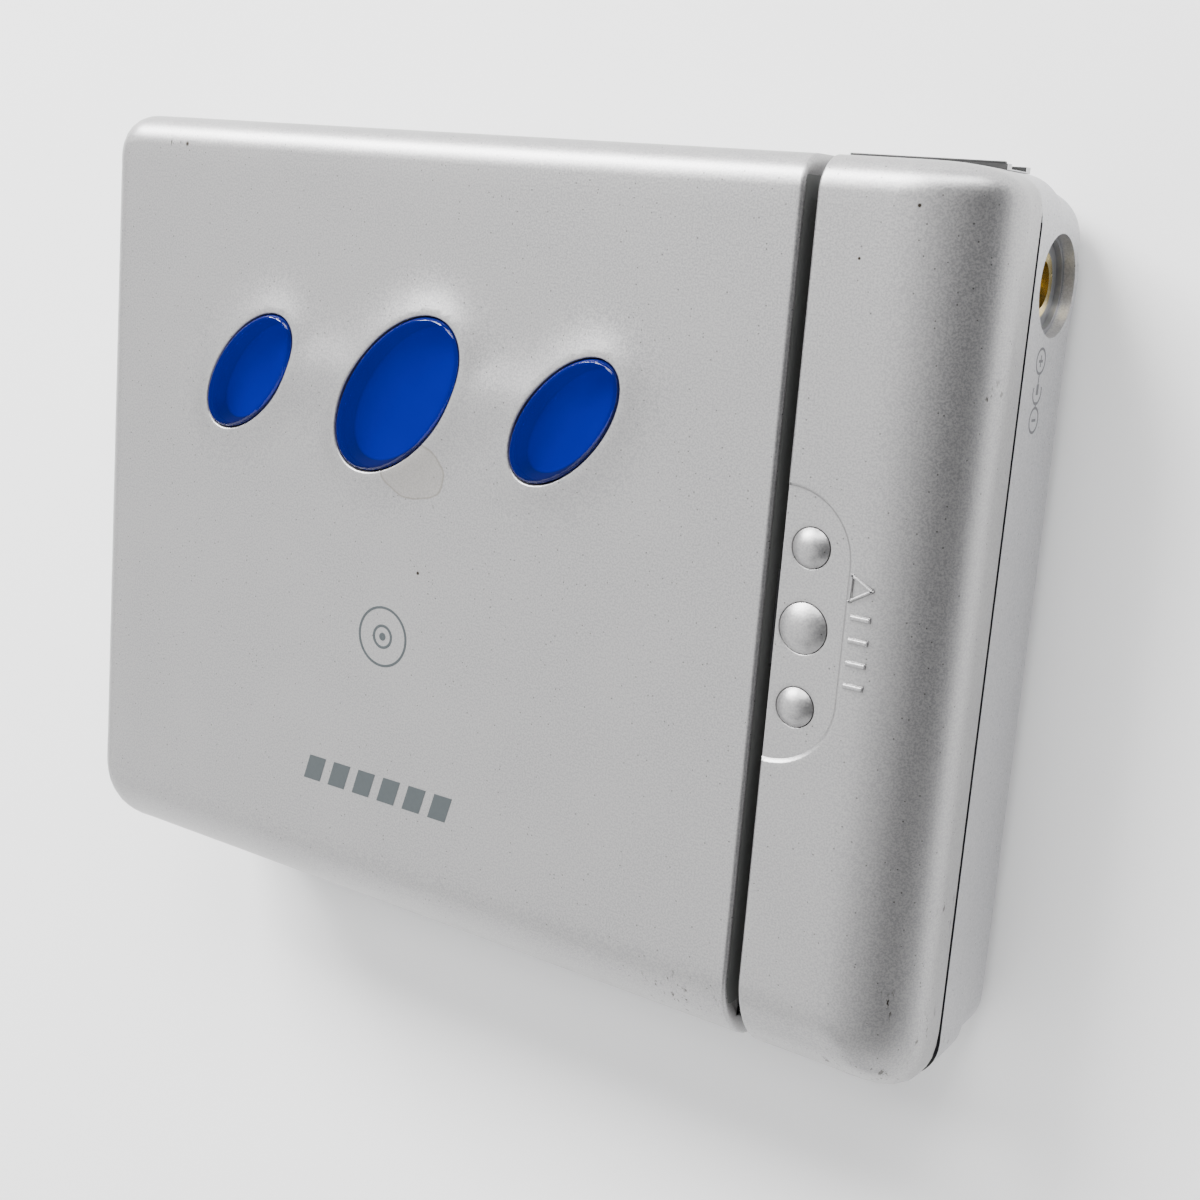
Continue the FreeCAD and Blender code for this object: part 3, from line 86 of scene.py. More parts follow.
# Keys: middle X, half length and half width of each oval, and what they share.
KEYS = {
    "skip_back_key": (-27.75, 7.3, 3.95),
    "play_key": (-8.2, 9.3, 5.4),
    "skip_forward_key": (11.35, 7.3, 3.95),
}
KEY_Y = 15.0
KEY_TURN = math.radians(48.5)
KEY_EDGE = 0.62
KEY_BULGE = 0.40
KEY_FLOOR = 20.35
FLANGE_TOP = 20.1
HOLE_GAP = 0.12
HOLE_ROUND = 0.22

# The swellings round the keys, and the low ridge that joins them.
MOUND_TALL = 0.95
SIDE_MOUND = 0.85
MOUND_REACH = 3.1
MOUND_START = 1.0
RIDGE_TALL = 0.75
RIDGE_REACH = 3.7
RIDGE_SHIFT = 0.6

# The D-shaped window of the release, its plate and its three round grips.
DECK_Y = 0.85
WINDOW_DEEP = 6.3
WINDOW_HALF = 11.9
WINDOW_ROUND = 6.0
WINDOW_SLOPE = 0.34
PLATE_DROP = 0.35
PLATE_HIDDEN = 0.3
PLATE_SKIRT = 0.7
DOME_X = 36.75
DOME_PITCH = 6.93
DOME_TALL = 0.75
DOMES = [((DOME_X, DECK_Y - DOME_PITCH), 1.73), ((DOME_X, DECK_Y), 2.2),
         ((DOME_X, DECK_Y + DOME_PITCH), 1.73)]


# ---- node materials

class Finish:
    """One node material, built with short calls. Lengths are in metres, as the objects are."""

    def __init__(self, name):
        self.material = bpy.data.materials.new(name)
        self.material.use_nodes = True
        tree = self.material.node_tree
        self.nodes = tree.nodes
        self.links = tree.links
        self.shader = tree.nodes["Principled BSDF"]
        self.where = self.node("ShaderNodeTexCoord").outputs["Object"]

    def node(self, kind, **options):
        made = self.nodes.new(kind)
        for key, value in options.items():
            setattr(made, key, value)
        return made

    def plug(self, socket, value):
        """Link an output to a socket, or set the socket's own value."""
        if isinstance(value, bpy.types.NodeSocket):
            self.links.new(value, socket)
        else:
            socket.default_value = value

    def surface(self, **values):
        """Set or link inputs of the main shader. An underscore stands for a space."""
        for key, value in values.items():
            if isinstance(value, tuple) and len(value) == 3:
                value = (*value, 1.0)
            self.plug(self.shader.inputs[key.replace("_", " ")], value)

    def math(self, operation, first, second=0.0):
        made = self.node("ShaderNodeMath", operation=operation)
        self.plug(made.inputs[0], first)
        self.plug(made.inputs[1], second)
        return made.outputs[0]

    def stretched(self, scale):
        """Places on the object, scaled along X, Y and Z."""
        mapping = self.node("ShaderNodeMapping")
        mapping.inputs["Scale"].default_value = scale
        self.links.new(self.where, mapping.inputs["Vector"])
        return mapping.outputs["Vector"]

    def noise(self, scale, detail=2.0, roughness=0.5, stretch=None):
        """Cloudy noise from 0 to 1; scale is in cycles per metre."""
        made = self.node("ShaderNodeTexNoise")
        source = self.where if stretch is None else self.stretched(stretch)
        self.links.new(source, made.inputs["Vector"])
        made.inputs["Scale"].default_value = scale
        made.inputs["Detail"].default_value = detail
        made.inputs["Roughness"].default_value = roughness
        return made.outputs["Fac"]

    def dots(self, scale, radius, share):
        """Sparse round specks: 1 inside a speck. Radius is a share of the cell, share is how many."""
        cells = self.node("ShaderNodeTexVoronoi")
        self.links.new(self.where, cells.inputs["Vector"])
        cells.inputs["Scale"].default_value = scale
        inside = self.math("LESS_THAN", cells.outputs["Distance"], radius)
        red = self.node("ShaderNodeSeparateColor")
        self.links.new(cells.outputs["Color"], red.inputs["Color"])
        chosen = self.math("LESS_THAN", red.outputs[0], share)
        return self.math("MULTIPLY", inside, chosen)

    def ramp(self, value, low, high, start=0.0, end=1.0):
        """A smooth step from start to end as value goes from low to high."""
        made = self.node("ShaderNodeMapRange", interpolation_type="SMOOTHSTEP")
        for key, amount in (("Value", value), ("From Min", low), ("From Max", high),
                            ("To Min", start), ("To Max", end)):
            self.plug(made.inputs[key], amount)
        return made.outputs["Result"]

    def mix(self, factor, first, second):
        """Blend of two colours."""
        made = self.node("ShaderNodeMix", data_type="RGBA")
        self.plug(made.inputs["Factor"], factor)
        for socket, value in ((made.inputs[6], first), (made.inputs[7], second)):
            if isinstance(value, tuple):
                value = (*value, 1.0)
            self.plug(socket, value)
        return made.outputs[2]

    def parts(self):
        """The X, Y and Z of a place on the object."""
        made = self.node("ShaderNodeSeparateXYZ")
        self.links.new(self.where, made.inputs[0])
        return made.outputs

    def distance(self, source, place):
        """How far each place is from one place, both in metres."""
        made = self.node("ShaderNodeVectorMath", operation="DISTANCE")
        self.links.new(source, made.inputs[0])
        made.inputs[1].default_value = place
        return made.outputs["Value"]

    def near(self, centre, radius, soft):
        """1 within a radius of a place given in millimetres, 0 beyond it."""
        away = self.distance(self.where, Vector(centre) * MM)
        return self.ramp(away, (radius - soft) * MM, (radius + soft) * MM, 1.0, 0.0)

    def bump(self, height, strength, distance):
        made = self.node("ShaderNodeBump")
        self.links.new(height, made.inputs["Height"])
        made.inputs["Strength"].default_value = strength
        made.inputs["Distance"].default_value = distance
        self.links.new(made.outputs["Normal"], self.shader.inputs["Normal"])


PAINT = (0.385, 0.380, 0.378)
PAINT_DEEP = (0.300, 0.298, 0.302)
PAINT_CLOUD = (0.43, 0.42, 0.416)
PEPPER = (0.07, 0.066, 0.063)
CHIP = (0.035, 0.028, 0.022)
# Painted shade for the lower case's top ledge under the parting line.
RIM_PAINTED_SHADE = (0.018, 0.018, 0.020)
STAIN = (0.31, 0.285, 0.24)
STAIN_EDGE = (0.15, 0.13, 0.10)
INK = (0.07, 0.07, 0.08)

# Scales of the paint's noises, in cycles per metre.
GRAIN = 5600.0
SPECKS = 2100.0
STREAKS = 1500.0
CLOUDS = 90.0


def silver_paint(name, chips, wear, extra=None, metallic=0.93, tint=(1.0, 1.0, 1.0)):
    """Fine metallic silver paint: grain, pepper specks, chipped spots, rubbed patches."""
    paint = Finish(name)
    grain = paint.noise(GRAIN, 2.0, 0.6)
    deep, light = [tuple(a * b for a, b in zip(shade, tint)) for shade in (PAINT_DEEP, PAINT)]
    colour = paint.mix(paint.ramp(grain, 0.36, 0.64), deep, light)
    colour = paint.mix(paint.ramp(paint.noise(CLOUDS), 0.35, 0.7, 0.0, 0.12), colour, PAINT_CLOUD)
    pepper = paint.dots(SPECKS, 0.16, 0.14)
    colour = paint.mix(paint.math("MULTIPLY", pepper, 0.65), colour, PEPPER)
    streaks = paint.ramp(paint.noise(STREAKS, 3.0, 0.7, stretch=(1.0, 0.35, 1.0)), 0.60, 0.68)
    for centre, radius, soft in wear:
        patch = paint.near(centre, radius, soft)
        colour = paint.mix(paint.math("MULTIPLY", patch, streaks), colour, CHIP)
    for centre, radius in chips:
        colour = paint.mix(paint.near(centre, radius, radius * 0.35), colour, CHIP)
    if extra is not None:
        colour = extra(paint, colour)
    rough = paint.ramp(grain, 0.2, 0.8, 0.37, 0.46)
    paint.surface(Base_Color=colour, Metallic=metallic, Roughness=rough, Specular_IOR_Level=0.5)
    paint.bump(grain, 0.16, 0.00005)
    return paint.material


def water_stain(paint, colour):
    """A faint brownish dried drop under the middle key, with a thin darker outline."""
    squeeze = 1.25
    radius = 4.45
    wobble = 0.0016
    away = paint.distance(paint.stretched((1.0, squeeze, 0.0)), (-5.9 * MM, 8.0 * squeeze * MM, 0.0))
    reach = paint.math("ADD", away, paint.math("MULTIPLY", paint.noise(260.0), wobble))
    inside = paint.ramp(reach, (radius - 0.1) * MM, (radius + 0.15) * MM, 0.30, 0.0)
    colour = paint.mix(inside, colour, STAIN)
    beside = paint.math("ABSOLUTE", paint.math("SUBTRACT", reach, radius * MM))
    return paint.mix(paint.ramp(beside, 0.05 * MM, 0.16 * MM, 0.42, 0.0), colour, STAIN_EDGE)


def base_extras(paint, colour):
    """The polarity symbol, and painted shade on the ledge under the parting line."""
    place = paint.parts()
    rim = paint.math("GREATER_THAN", place[2], (BASE_RIM - 0.06) * MM)
    away = paint.math("LESS_THAN", place[1], (BASE_HIGH.y - 4.0) * MM)
    # The ledge is darkened with painted shade, except within 4 mm of the back.
    return paint.mix(paint.math("MULTIPLY", rim, away), polarity_symbol(paint, colour), RIM_PAINTED_SHADE)


def polarity_symbol(paint, colour):
    """The usual sign of a power inlet: plus and minus in circles, joined through a C and a dot."""
    place = paint.parts()
    level = 8.75
    line = 0.12
    arm = 0.5
    plus = (24.6, level)
    middle = (22.0, level)
    minus = (19.6, level)

    def offset(centre):
        return (paint.math("SUBTRACT", place[1], centre[0] * MM),
                paint.math("SUBTRACT", place[2], centre[1] * MM))

    def ring(centre, radius):
        """A thin circle on the side wall."""
        side, height = offset(centre)
        square = paint.math("ADD", paint.math("MULTIPLY", side, side), paint.math("MULTIPLY", height, height))
        away = paint.math("ABSOLUTE", paint.math("SUBTRACT", paint.math("SQRT", square), radius * MM))
        return paint.math("LESS_THAN", away, line * MM)

    def bar(centre, half_long, half_tall):
        """A printed bar on the side wall."""
        side, height = [paint.math("ABSOLUTE", each) for each in offset(centre)]
        return paint.math("MULTIPLY", paint.math("LESS_THAN", side, half_long * MM),
                          paint.math("LESS_THAN", height, half_tall * MM))

    open_side = paint.math("LESS_THAN", place[1], (middle[0] + 0.4) * MM)
    masks = [ring(plus, 1.05), bar(plus, arm, line), bar(plus, line, arm),
             ring(minus, 1.05), bar(minus, line, arm),
             bar((23.1, level), 0.5, line), bar((20.85, level), 0.3, line),
             bar((22.2, level), 0.45, 0.28), paint.math("MULTIPLY", ring(middle, 1.0), open_side)]
    total = masks[0]
    for mask in masks[1:]:
        total = paint.math("MAXIMUM", total, mask)
    on_side = paint.math("GREATER_THAN", place[0], (BASE_HIGH.x - 0.2) * MM)
    print_ink = paint.math("MULTIPLY", total, on_side)
    return paint.mix(paint.math("MULTIPLY", print_ink, 0.9), colour, INK)


def plain(name, colour, metallic, rough, grain=1200.0, depth=0.00003, strength=0.15, spread=0.12,
          stretch=None, **extra):
    """A material with a fine grain in its colour, its roughness and its surface."""
    made = Finish(name)
    noise = made.noise(grain, 3.0, 0.6, stretch=stretch)
    dark = tuple(channel * (1.0 - spread) for channel in colour)
    light = tuple(min(1.0, channel * (1.0 + spread)) for channel in colour)
    made.surface(Base_Color=made.mix(noise, dark, light), Metallic=metallic,
                 Roughness=made.ramp(noise, 0.25, 0.75, rough * 0.85, min(1.0, rough * 1.15)), **extra)
    made.bump(noise, strength, depth)
    return made.material


def blue_cap(name, low, high, **values):
    """Clear blue acrylic: tinted see-through body with a polished surface."""
    cap = Finish(name)
    colour = cap.mix(cap.noise(220.0), (0.001, 0.004, 0.12), (0.001, 0.006, 0.15))
    rough = cap.ramp(cap.noise(500.0), 0.3, 0.7, low, high)
    cap.surface(Base_Color=colour, Roughness=rough, **values)
    return cap.material


def key_inside():
    """The inside of a key, seen through its clear cap: bright floor and dark walls."""
    made = Finish("key_inside")
    level = made.ramp(made.parts()[2], (KEY_FLOOR + 0.02) * MM, (KEY_FLOOR + 0.22) * MM)
    cloud = made.noise(160.0)
    floor = made.mix(cloud, (0.002, 0.008, 0.24), (0.002, 0.010, 0.29))
    made.surface(Base_Color=made.mix(level, floor, (0.012, 0.014, 0.035)), Roughness=0.5,
                 Specular_IOR_Level=0.0)
    made.bump(cloud, 0.05, 0.00005)
    return made.material


def panel_black(end):
    """Dark textured plastic whose narrow end face is silver like the case."""
    made = Finish("side_black")
    noise = made.noise(1400.0, 3.0, 0.6)
    dark = made.mix(noise, (0.013, 0.013, 0.013), (0.027, 0.027, 0.027))
    at_end = made.math("GREATER_THAN", made.parts()[0], (end - 0.05) * MM)
    made.surface(Base_Color=made.mix(at_end, dark, (0.60, 0.60, 0.61)), Roughness=0.42)
    made.bump(noise, 0.45, 0.0001)
    return made.material


def board_green():
    """Solder mask with buried tracks and plated holes."""
    made = Finish("solder_mask")
    tracks = made.node("ShaderNodeTexBrick", offset=0.5)
    made.links.new(made.where, tracks.inputs["Vector"])
    for key, value in (("Scale", 260.0), ("Mortar Size", 0.03), ("Color1", (0.012, 0.085, 0.035, 1.0)),
                       ("Color2", (0.015, 0.10, 0.04, 1.0)), ("Mortar", (0.03, 0.19, 0.07, 1.0))):
        tracks.inputs[key].default_value = value
    holes = made.dots(420.0, 0.16, 0.35)
    made.surface(Base_Color=made.mix(holes, tracks.outputs["Color"], (0.55, 0.45, 0.22)),
                 Roughness=0.35, Coat_Weight=0.4, Coat_Roughness=0.2)
    made.bump(tracks.outputs["Fac"], 0.3, 0.00003)
    return made.material


# Each plain look: colour, metallic, roughness, then plain()'s grain, depth, strength, spread, stretch.
PLAIN_LOOKS = {
    "spring_steel": ((0.50, 0.50, 0.51), 1.0, 0.28, 2500.0),
    "sheet_steel": ((0.56, 0.57, 0.58), 1.0, 0.36, 60.0, 0.00004, 0.22, 0.10, (40.0, 2.0, 40.0)),
    "turned_steel": ((0.46, 0.46, 0.48), 1.0, 0.25, 3000.0),
    "black_plastic": ((0.022, 0.022, 0.024), 0.0, 0.5, 2600.0, 0.00005, 0.3, 0.3),
    "foot_rubber": ((0.035, 0.035, 0.036), 0.0, 0.8, 1800.0, 0.0001, 0.4, 0.25),
    "coil_copper": ((0.62, 0.24, 0.10), 1.0, 0.3, 260.0, 0.0001, 0.6, 0.25, (1.0, 1.0, 30.0)),
    "magnet_grey": ((0.14, 0.14, 0.15), 0.6, 0.5, 2400.0),
    "cast_metal": ((0.42, 0.42, 0.42), 0.9, 0.48, 2000.0, 0.00006, 0.4),
    "natural_plastic": ((0.74, 0.72, 0.64), 0.0, 0.42, 1500.0),
    "plated_brass": ((0.86, 0.66, 0.28), 1.0, 0.24, 900.0, 0.00004, 0.3, 0.25),
    "chip_black": ((0.020, 0.020, 0.021), 0.0, 0.55, 4000.0, 0.00003, 0.25, 0.3),
    "film_amber": ((0.42, 0.17, 0.02), 0.0, 0.3, 500.0, 0.00002, 0.1, 0.2),
    "inlet_grey": ((0.21, 0.213, 0.22), 0.5, 0.36, 2600.0, 0.00004, 0.25, 0.15),
    "mark_ink": ((0.050, 0.060, 0.064), 0.35, 0.38, 2600.0, 0.00002, 0.15, 0.15),
    # Dark grey of the shells' unpainted insides, also used as painted shade on the strip's wall in the seam.
    "inside_grey_and_seam_shade": ((0.045, 0.045, 0.047), 0.0, 0.6, 1800.0, 0.00004, 0.2, 0.2),
    # Painted shade for the lid's wall in the seam.
    "seam_painted_shade": ((0.11, 0.113, 0.11), 0.0, 0.45, 1800.0, 0.00004, 0.2, 0.2),
    "floor_white": ((0.93, 0.93, 0.93), 0.0, 0.9, 30.0, 0.00001, 0.02, 0.01),
}

# Chips are (place, radius) and rubbed patches (place, radius, softness), in millimetres.
LID_CHIPS = [((-38.4, 37.3, 21.4), 0.28), ((6.15, 15.4, 21.6), 0.16), ((-4.7, -2.0, 21.6), 0.17),
             ((-6.3, 23.4, 22.0), 0.14), ((6.9, -41.0, 16.5), 0.2)]
LID_WEAR = [((-40.0, 37.4, 21.4), 1.1, 0.8), ((28.0, -37.0, 20.5), 4.0, 3.0)]
STRIP_CHIPS = [((43.1, 36.4, 21.5), 0.16), ((38.5, 31.9, 21.6), 0.12), ((46.3, -34.6, 19.2), 0.14)]
STRIP_WEAR = [((49.9, -23.0, 15.0), 1.9, 1.2), ((49.8, -33.6, 16.0), 1.8, 1.4),
              ((39.6, -34.6, 20.6), 0.9, 0.6), ((47.6, -30.3, 20.0), 1.1, 0.8),
              ((46.0, -37.0, 17.4), 2.6, 1.8), ((42.5, -38.2, 18.0), 2.4, 1.6),
              ((49.4, 22.0, 17.6), 1.0, 0.8)]
BASE_WEAR = [((49.9, -38.2, 11.0), 2.0, 1.8)]

LOOKS = {name: plain(name, *values) for name, values in PLAIN_LOOKS.items()}
LOOKS.update({
    "coated_lens": plain("coated_lens", (0.10, 0.16, 0.34), 0.3, 0.05, 300.0, 0.00001, 0.02, 0.3,
                         Coat_Weight=1.0),
    "side_black": panel_black(limits("side_panel")[1].x),
    "solder_mask": board_green(),
    "blue_acrylic": blue_cap("blue_acrylic", 0.12, 0.16, Specular_IOR_Level=0.0, Alpha=0.45),
    "blue_edge": blue_cap("blue_edge", 0.07, 0.10, Specular_IOR_Level=0.5, Alpha=0.6),
    "key_inside": key_inside(),
    "lid_paint": silver_paint("lid_paint", LID_CHIPS, LID_WEAR, water_stain),
    "strip_paint": silver_paint("strip_paint", STRIP_CHIPS, STRIP_WEAR),
    # The lower case gets a lighter, less metallic copy of the silver paint: partly a two-tone finish, partly
    # painted light that brightens its side wall.
    "base_paint": silver_paint("base_paint", (), BASE_WEAR, base_extras, 0.72, (1.25, 1.26, 1.29)),
})


# ---- mesh helpers

def make_object(name, mesh_data, looks, body, smooth_angle=35.0):
    """An object in metres from a bmesh in millimetres, with its looks and body."""
    bmesh.ops.scale(mesh_data, vec=(MM, MM, MM), verts=mesh_data.verts)
    mesh = bpy.data.meshes.new(name)
    mesh_data.to_mesh(mesh)
    mesh_data.free()
    for look in looks:
        mesh.materials.append(LOOKS[look])
    thing = bpy.data.objects.new(name, mesh)
    bpy.context.scene.collection.objects.link(thing)
    for face in mesh.polygons:
        face.use_smooth = True
    mesh.set_sharp_from_angle(angle=math.radians(smooth_angle))
    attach(thing, body)
    return thing


def kept_part(node, level, name, look, body):
    """A copy of the part of a CAD piece that lies below a level."""
    part = bmesh.new()
    part.from_mesh(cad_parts[node].data)
    everything = part.verts[:] + part.edges[:] + part.faces[:]
    bmesh.ops.bisect_plane(part, geom=everything, dist=1e-7, plane_co=(0, 0, level * MM),
                           plane_no=(0, 0, 1), clear_outer=True)
    bmesh.ops.remove_doubles(part, verts=part.verts[:], dist=1e-6)
    bmesh.ops.scale(part, vec=(1 / MM,) * 3, verts=part.verts)
    return make_object(name, part, (look,), body)


def between(upper, lower):
    """The corners of the faces between two closed rows of points. A row of one point is a tip."""
    count = max(len(upper), len(lower))
    for i in range(count):
        j = (i + 1) % count
        if len(upper) == 1:
            yield upper[0], lower[i], lower[j]
        elif len(lower) == 1:
            yield upper[i], lower[0], upper[j]
        else:
            yield upper[i], lower[i], lower[j], upper[j]


def join_rows(made, rows):
    """Faces between closed rows that follow each other, from the top down."""
    for upper, lower in zip(rows, rows[1:]):
        for corners in between(upper, lower):
            made.faces.new(corners)


def circle(made, centre, radius, z, turns):
    """Points round a level circle, or its middle where the radius is zero."""
    if radius == 0:
        return [made.verts.new((*centre, z))]
    return [made.verts.new((centre[0] + radius * math.cos(2 * math.pi * i / turns),
                            centre[1] + radius * math.sin(2 * math.pi * i / turns), z))
            for i in range(turns)]


def smoothstep(value):
    value = max(0.0, min(1.0, value))
    return value * value * (3.0 - 2.0 * value)


# Where two rounded edges meet: reach of the rounding along X and Y, and its fullness.
Corner = namedtuple("Corner", "along_x along_y fullness")


class Pillow:
    """A rounded top skin with walls. Edges go front (-Y), right (+X), back (+Y), left (-X).

    Rounds say how far each edge's rounding reaches in, and falls how far it drops where that differs.
    """

    def __init__(self, low, high, inset, top, rounds, corners, falls=None, cell=0.55, steps=9, fan=9):
        self.across = round((high.x - low.x) / cell)
        self.along = round((high.y - low.y) / cell)
        self.x0, self.x1 = low.x + inset, high.x - inset
        self.y0, self.y1 = low.y + inset, high.y - inset
        self.top = top - inset
        self.reach = [max(size - inset, 0.1) for size in rounds]
        self.fall = [max(size - inset, 0.1) for size in falls or rounds]
        self.corners = [Corner(max(corner.along_x - inset, 0.1), max(corner.along_y - inset, 0.1),
                               corner.fullness) for corner in corners]
        self.steps, self.fan = steps, fan
        self.rise = lambda x, y: 0.0
        self.verts = []
        self.faces = []

    def border(self):
        """Points round the inner border of the rounding: place, way out to the edge, direction, drop."""
        front_left, front_right, back_right, back_left = self.corners
        front, right, back, left = self.reach
        x0, x1, y0, y1 = self.x0, self.x1, self.y0, self.y1
        sides = (
            ((x0 + front_left.along_x, y0 + front), (x1 - front_right.along_x, y0 + front),
             Vector((0, -1)), front, self.across, front_right),
            ((x1 - right, y0 + front_right.along_y), (x1 - right, y1 - back_right.along_y),
             Vector((1, 0)), right, self.along, back_right),
            ((x1 - back_right.along_x, y1 - back), (x0 + back_left.along_x, y1 - back),
             Vector((0, 1)), back, self.across, back_left),
            ((x0 + left, y1 - back_left.along_y), (x0 + left, y0 + front_left.along_y),
             Vector((-1, 0)), left, self.along, front_left))
        points = []
        for index, (start, end, out, reach, count, corner) in enumerate(sides):
            start, end = Vector(start), Vector(end)
            following = (index + 1) % 4
            falls = self.fall[index], self.fall[following]
            for step in range(count + 1):
                points.append((start.lerp(end, step / count), out * reach, out, falls[0]))
            next_out, next_reach = sides[following][2:4]
            points += self.corner_points(corner, end, out, reach, next_out, next_reach, falls)
        return points

    def corner_points(self, corner, end, out, reach, next_out, next_reach, falls):
        """Points between two sides: the inner and the outer border each turn a quarter."""
        size = corner.along_y if out.x == 0 else corner.along_x
        next_size = corner.along_x if out.x == 0 else corner.along_y
        centre = end - out * (size - reach)
        points = []
        for step in range(1, self.fan):
            turn = smoothstep(step / self.fan) * math.pi / 2
            first = math.cos(turn) ** (2 / corner.fullness)
            second = math.sin(turn) ** (2 / corner.fullness)
            place = centre + out * (size - reach) * first + next_out * (next_size - next_reach) * second
            normal = (out * first ** (corner.fullness - 1) / size
                      + next_out * second ** (corner.fullness - 1) / next_size).normalized()
            drop = (falls[0] * first ** 2 + falls[1] * second ** 2) / (first ** 2 + second ** 2)
            points.append((place, out * reach * first + next_out * next_reach * second, normal, drop))
        return points

    def ring(self, points, reach, fall, inset=0.0, level=None):
        """One closed row of points at a share of the rounding's reach and drop, or at a level."""
        row = []
        for place, out, normal, drop in points:
            x, y = place + out * reach - normal * inset
            z = self.top + self.rise(x, y) - drop * fall if level is None else level(x, y, self.top - drop)
            row.append(self.point(x, y, z))
        return row

    def point(self, x, y, z):
        self.verts.append((x, y, z))
        return len(self.verts) - 1

    def middle(self, row):
        """The flat middle: an even grid, joined to the inner border by one band."""
        n, m = self.across, self.along
        front_left, front_right, back_right, back_left = self.corners
        margin = 0.4
        left = self.x0 + max(front_left.along_x, back_left.along_x) + margin
        right = self.x1 - max(front_right.along_x, back_right.along_x) - margin
        front = self.y0 + max(front_left.along_y, front_right.along_y) + margin
        back = self.y1 - max(back_left.along_y, back_right.along_y) - margin
        grid = []
        for j in range(m + 1):
            y = front + (back - front) * j / m
            grid.append([self.point(x, y, self.top + self.rise(x, y))
                         for x in [left + (right - left) * i / n for i in range(n + 1)]])
        for j in range(m):
            for i in range(n):
                self.faces.append((grid[j][i], grid[j][i + 1], grid[j + 1][i + 1], grid[j + 1][i]))
        edges = (grid[0], [line[n] for line in grid], grid[m][::-1], [line[0] for line in grid][::-1])
        start = 0
        for edge in edges:
            count = len(edge)
            side = row[start:start + count]
            for i in range(count - 1):
                self.faces.append((side[i], side[i + 1], edge[i + 1], edge[i]))
            turn = row[start + count - 1:start + count + self.fan - 1]
            following = row[(start + count + self.fan - 1) % len(row)]
            self.faces.append((*turn, following, edge[-1]))
            start += count + self.fan - 1

    def build(self, wall_bottom, levels=6, lip=0.25):
        """Make the skin down to wall_bottom(x, y) with a rounded lip, and return its last row."""
        points = self.border()
        rows = [self.ring(points, 0.0, 0.0)]
        self.middle(rows[0])
        for step in range(1, self.steps + 1):
            turn = math.pi / 2 * step / self.steps
            rows.append(self.ring(points, math.sin(turn), 1.0 - math.cos(turn)))
        for step in range(1, levels + 1):
            share = step / levels
            rows.append(self.ring(points, 1.0, 0.0, level=lambda x, y, start: start
                                  + (wall_bottom(x, y) + lip - start) * share))
        lip_steps = 3 if lip else 0
        for step in range(1, lip_steps + 1):
            turn = math.pi / 2 * step / lip_steps
            rows.append(self.ring(points, 1.0, 0.0, inset=lip * (1.0 - math.cos(turn)),
                                  level=lambda x, y, start: wall_bottom(x, y)
                                  + lip * (1.0 - math.sin(turn))))
        for upper, lower in zip(rows, rows[1:]):
            self.faces.extend(between(upper, lower))
        return rows[-1]


def shell_mesh(outer, inner, wall_bottom):
    """Outer and inner skins joined along their lower edges. The inner one has the second look."""
    last_outer = outer.build(wall_bottom)
    last_inner = inner.build(wall_bottom, levels=3, lip=0.0)
    shift = len(outer.verts)
    painted = len(outer.faces)
    faces = outer.faces + [tuple(index + shift for index in reversed(face)) for face in inner.faces]
    faces += between(last_outer, [index + shift for index in last_inner])
    made = bmesh.new()
    points = [made.verts.new(place) for place in outer.verts + inner.verts]
    for index, face in enumerate(faces):
        new = made.faces.new([points[corner] for corner in face])
        new.material_index = int(index >= painted)
    bmesh.ops.remove_doubles(made, verts=made.verts[:], dist=0.0005)
    return made


def shade_seam_wall(skin, wall_x):
    """Give the wall in the seam the third look, below the rounded edge: a dark grey that paints the seam's
    shade on it.
    """
    for face in skin.faces:
        middle = face.calc_center_median()
        if abs(middle.x - wall_x) < 0.05 and middle.z < FACE - SEAM_EDGE:
            face.material_index = 2


# Outlines are flat functions: the distance of a place (x, y) from a shape, negative inside.

def slope_of(outline, x, y):
    """Value, direction and steepness of an outline at a place."""
    step = 0.01
    value = outline(x, y)
    dx = (outline(x + step, y) - outline(x - step, y)) / (2 * step)
    dy = (outline(x, y + step) - outline(x, y - step)) / (2 * step)
    size = math.hypot(dx, dy) or 1.0
    return value, dx / size, dy / size, size


def slide(outline, x, y, target):
    """Move a place until it lies at a distance from the outline. Returns it with its way out."""
    for _ in range(6):
        value, dx, dy, size = slope_of(outline, x, y)
        x -= dx * (value - target) / size
        y -= dy * (value - target) / size
    return x, y, dx, dy


def cut_away(skin, inside):
    """Delete the faces whose middle is inside."""
    gone = [face for face in skin.faces if inside(face.calc_center_median())]
    bmesh.ops.delete(skin, geom=gone, context="FACES")


def open_edges(skin, inside):
    """Boundary edges whose middle is inside."""
    return [edge for edge in skin.edges
            if edge.is_boundary and inside((edge.verts[0].co + edge.verts[1].co) / 2)]


def lead_down(skin, rim, outline, profile, rim_level, row_level=None):
    """Move a rim onto its outline and lead it down a profile of (distance, drop) pairs.

    rim_level(x, y, z) is the new height of a rim point, row_level(z, drop) that of a point below it.
    """
    start = profile[0][0]
    columns = {}
    for edge in rim:
        for vert in edge.verts:
            if vert in columns:
                continue
            x, y, dx, dy = slide(outline, vert.co.x, vert.co.y, start)
            vert.co = (x, y, rim_level(x, y, vert.co.z))
            columns[vert] = [vert]
            for distance, drop in profile[1:]:
                move = start - distance
                columns[vert].append(skin.verts.new(
                    (x - dx * move, y - dy * move, row_level(vert.co.z, drop))))
    for edge in rim:
        loop = edge.link_loops[0]
        a, b = columns[loop.vert], columns[loop.link_loop_next.vert]
        for i in range(len(profile) - 1):
            skin.faces.new((b[i], a[i], a[i + 1], b[i + 1]))


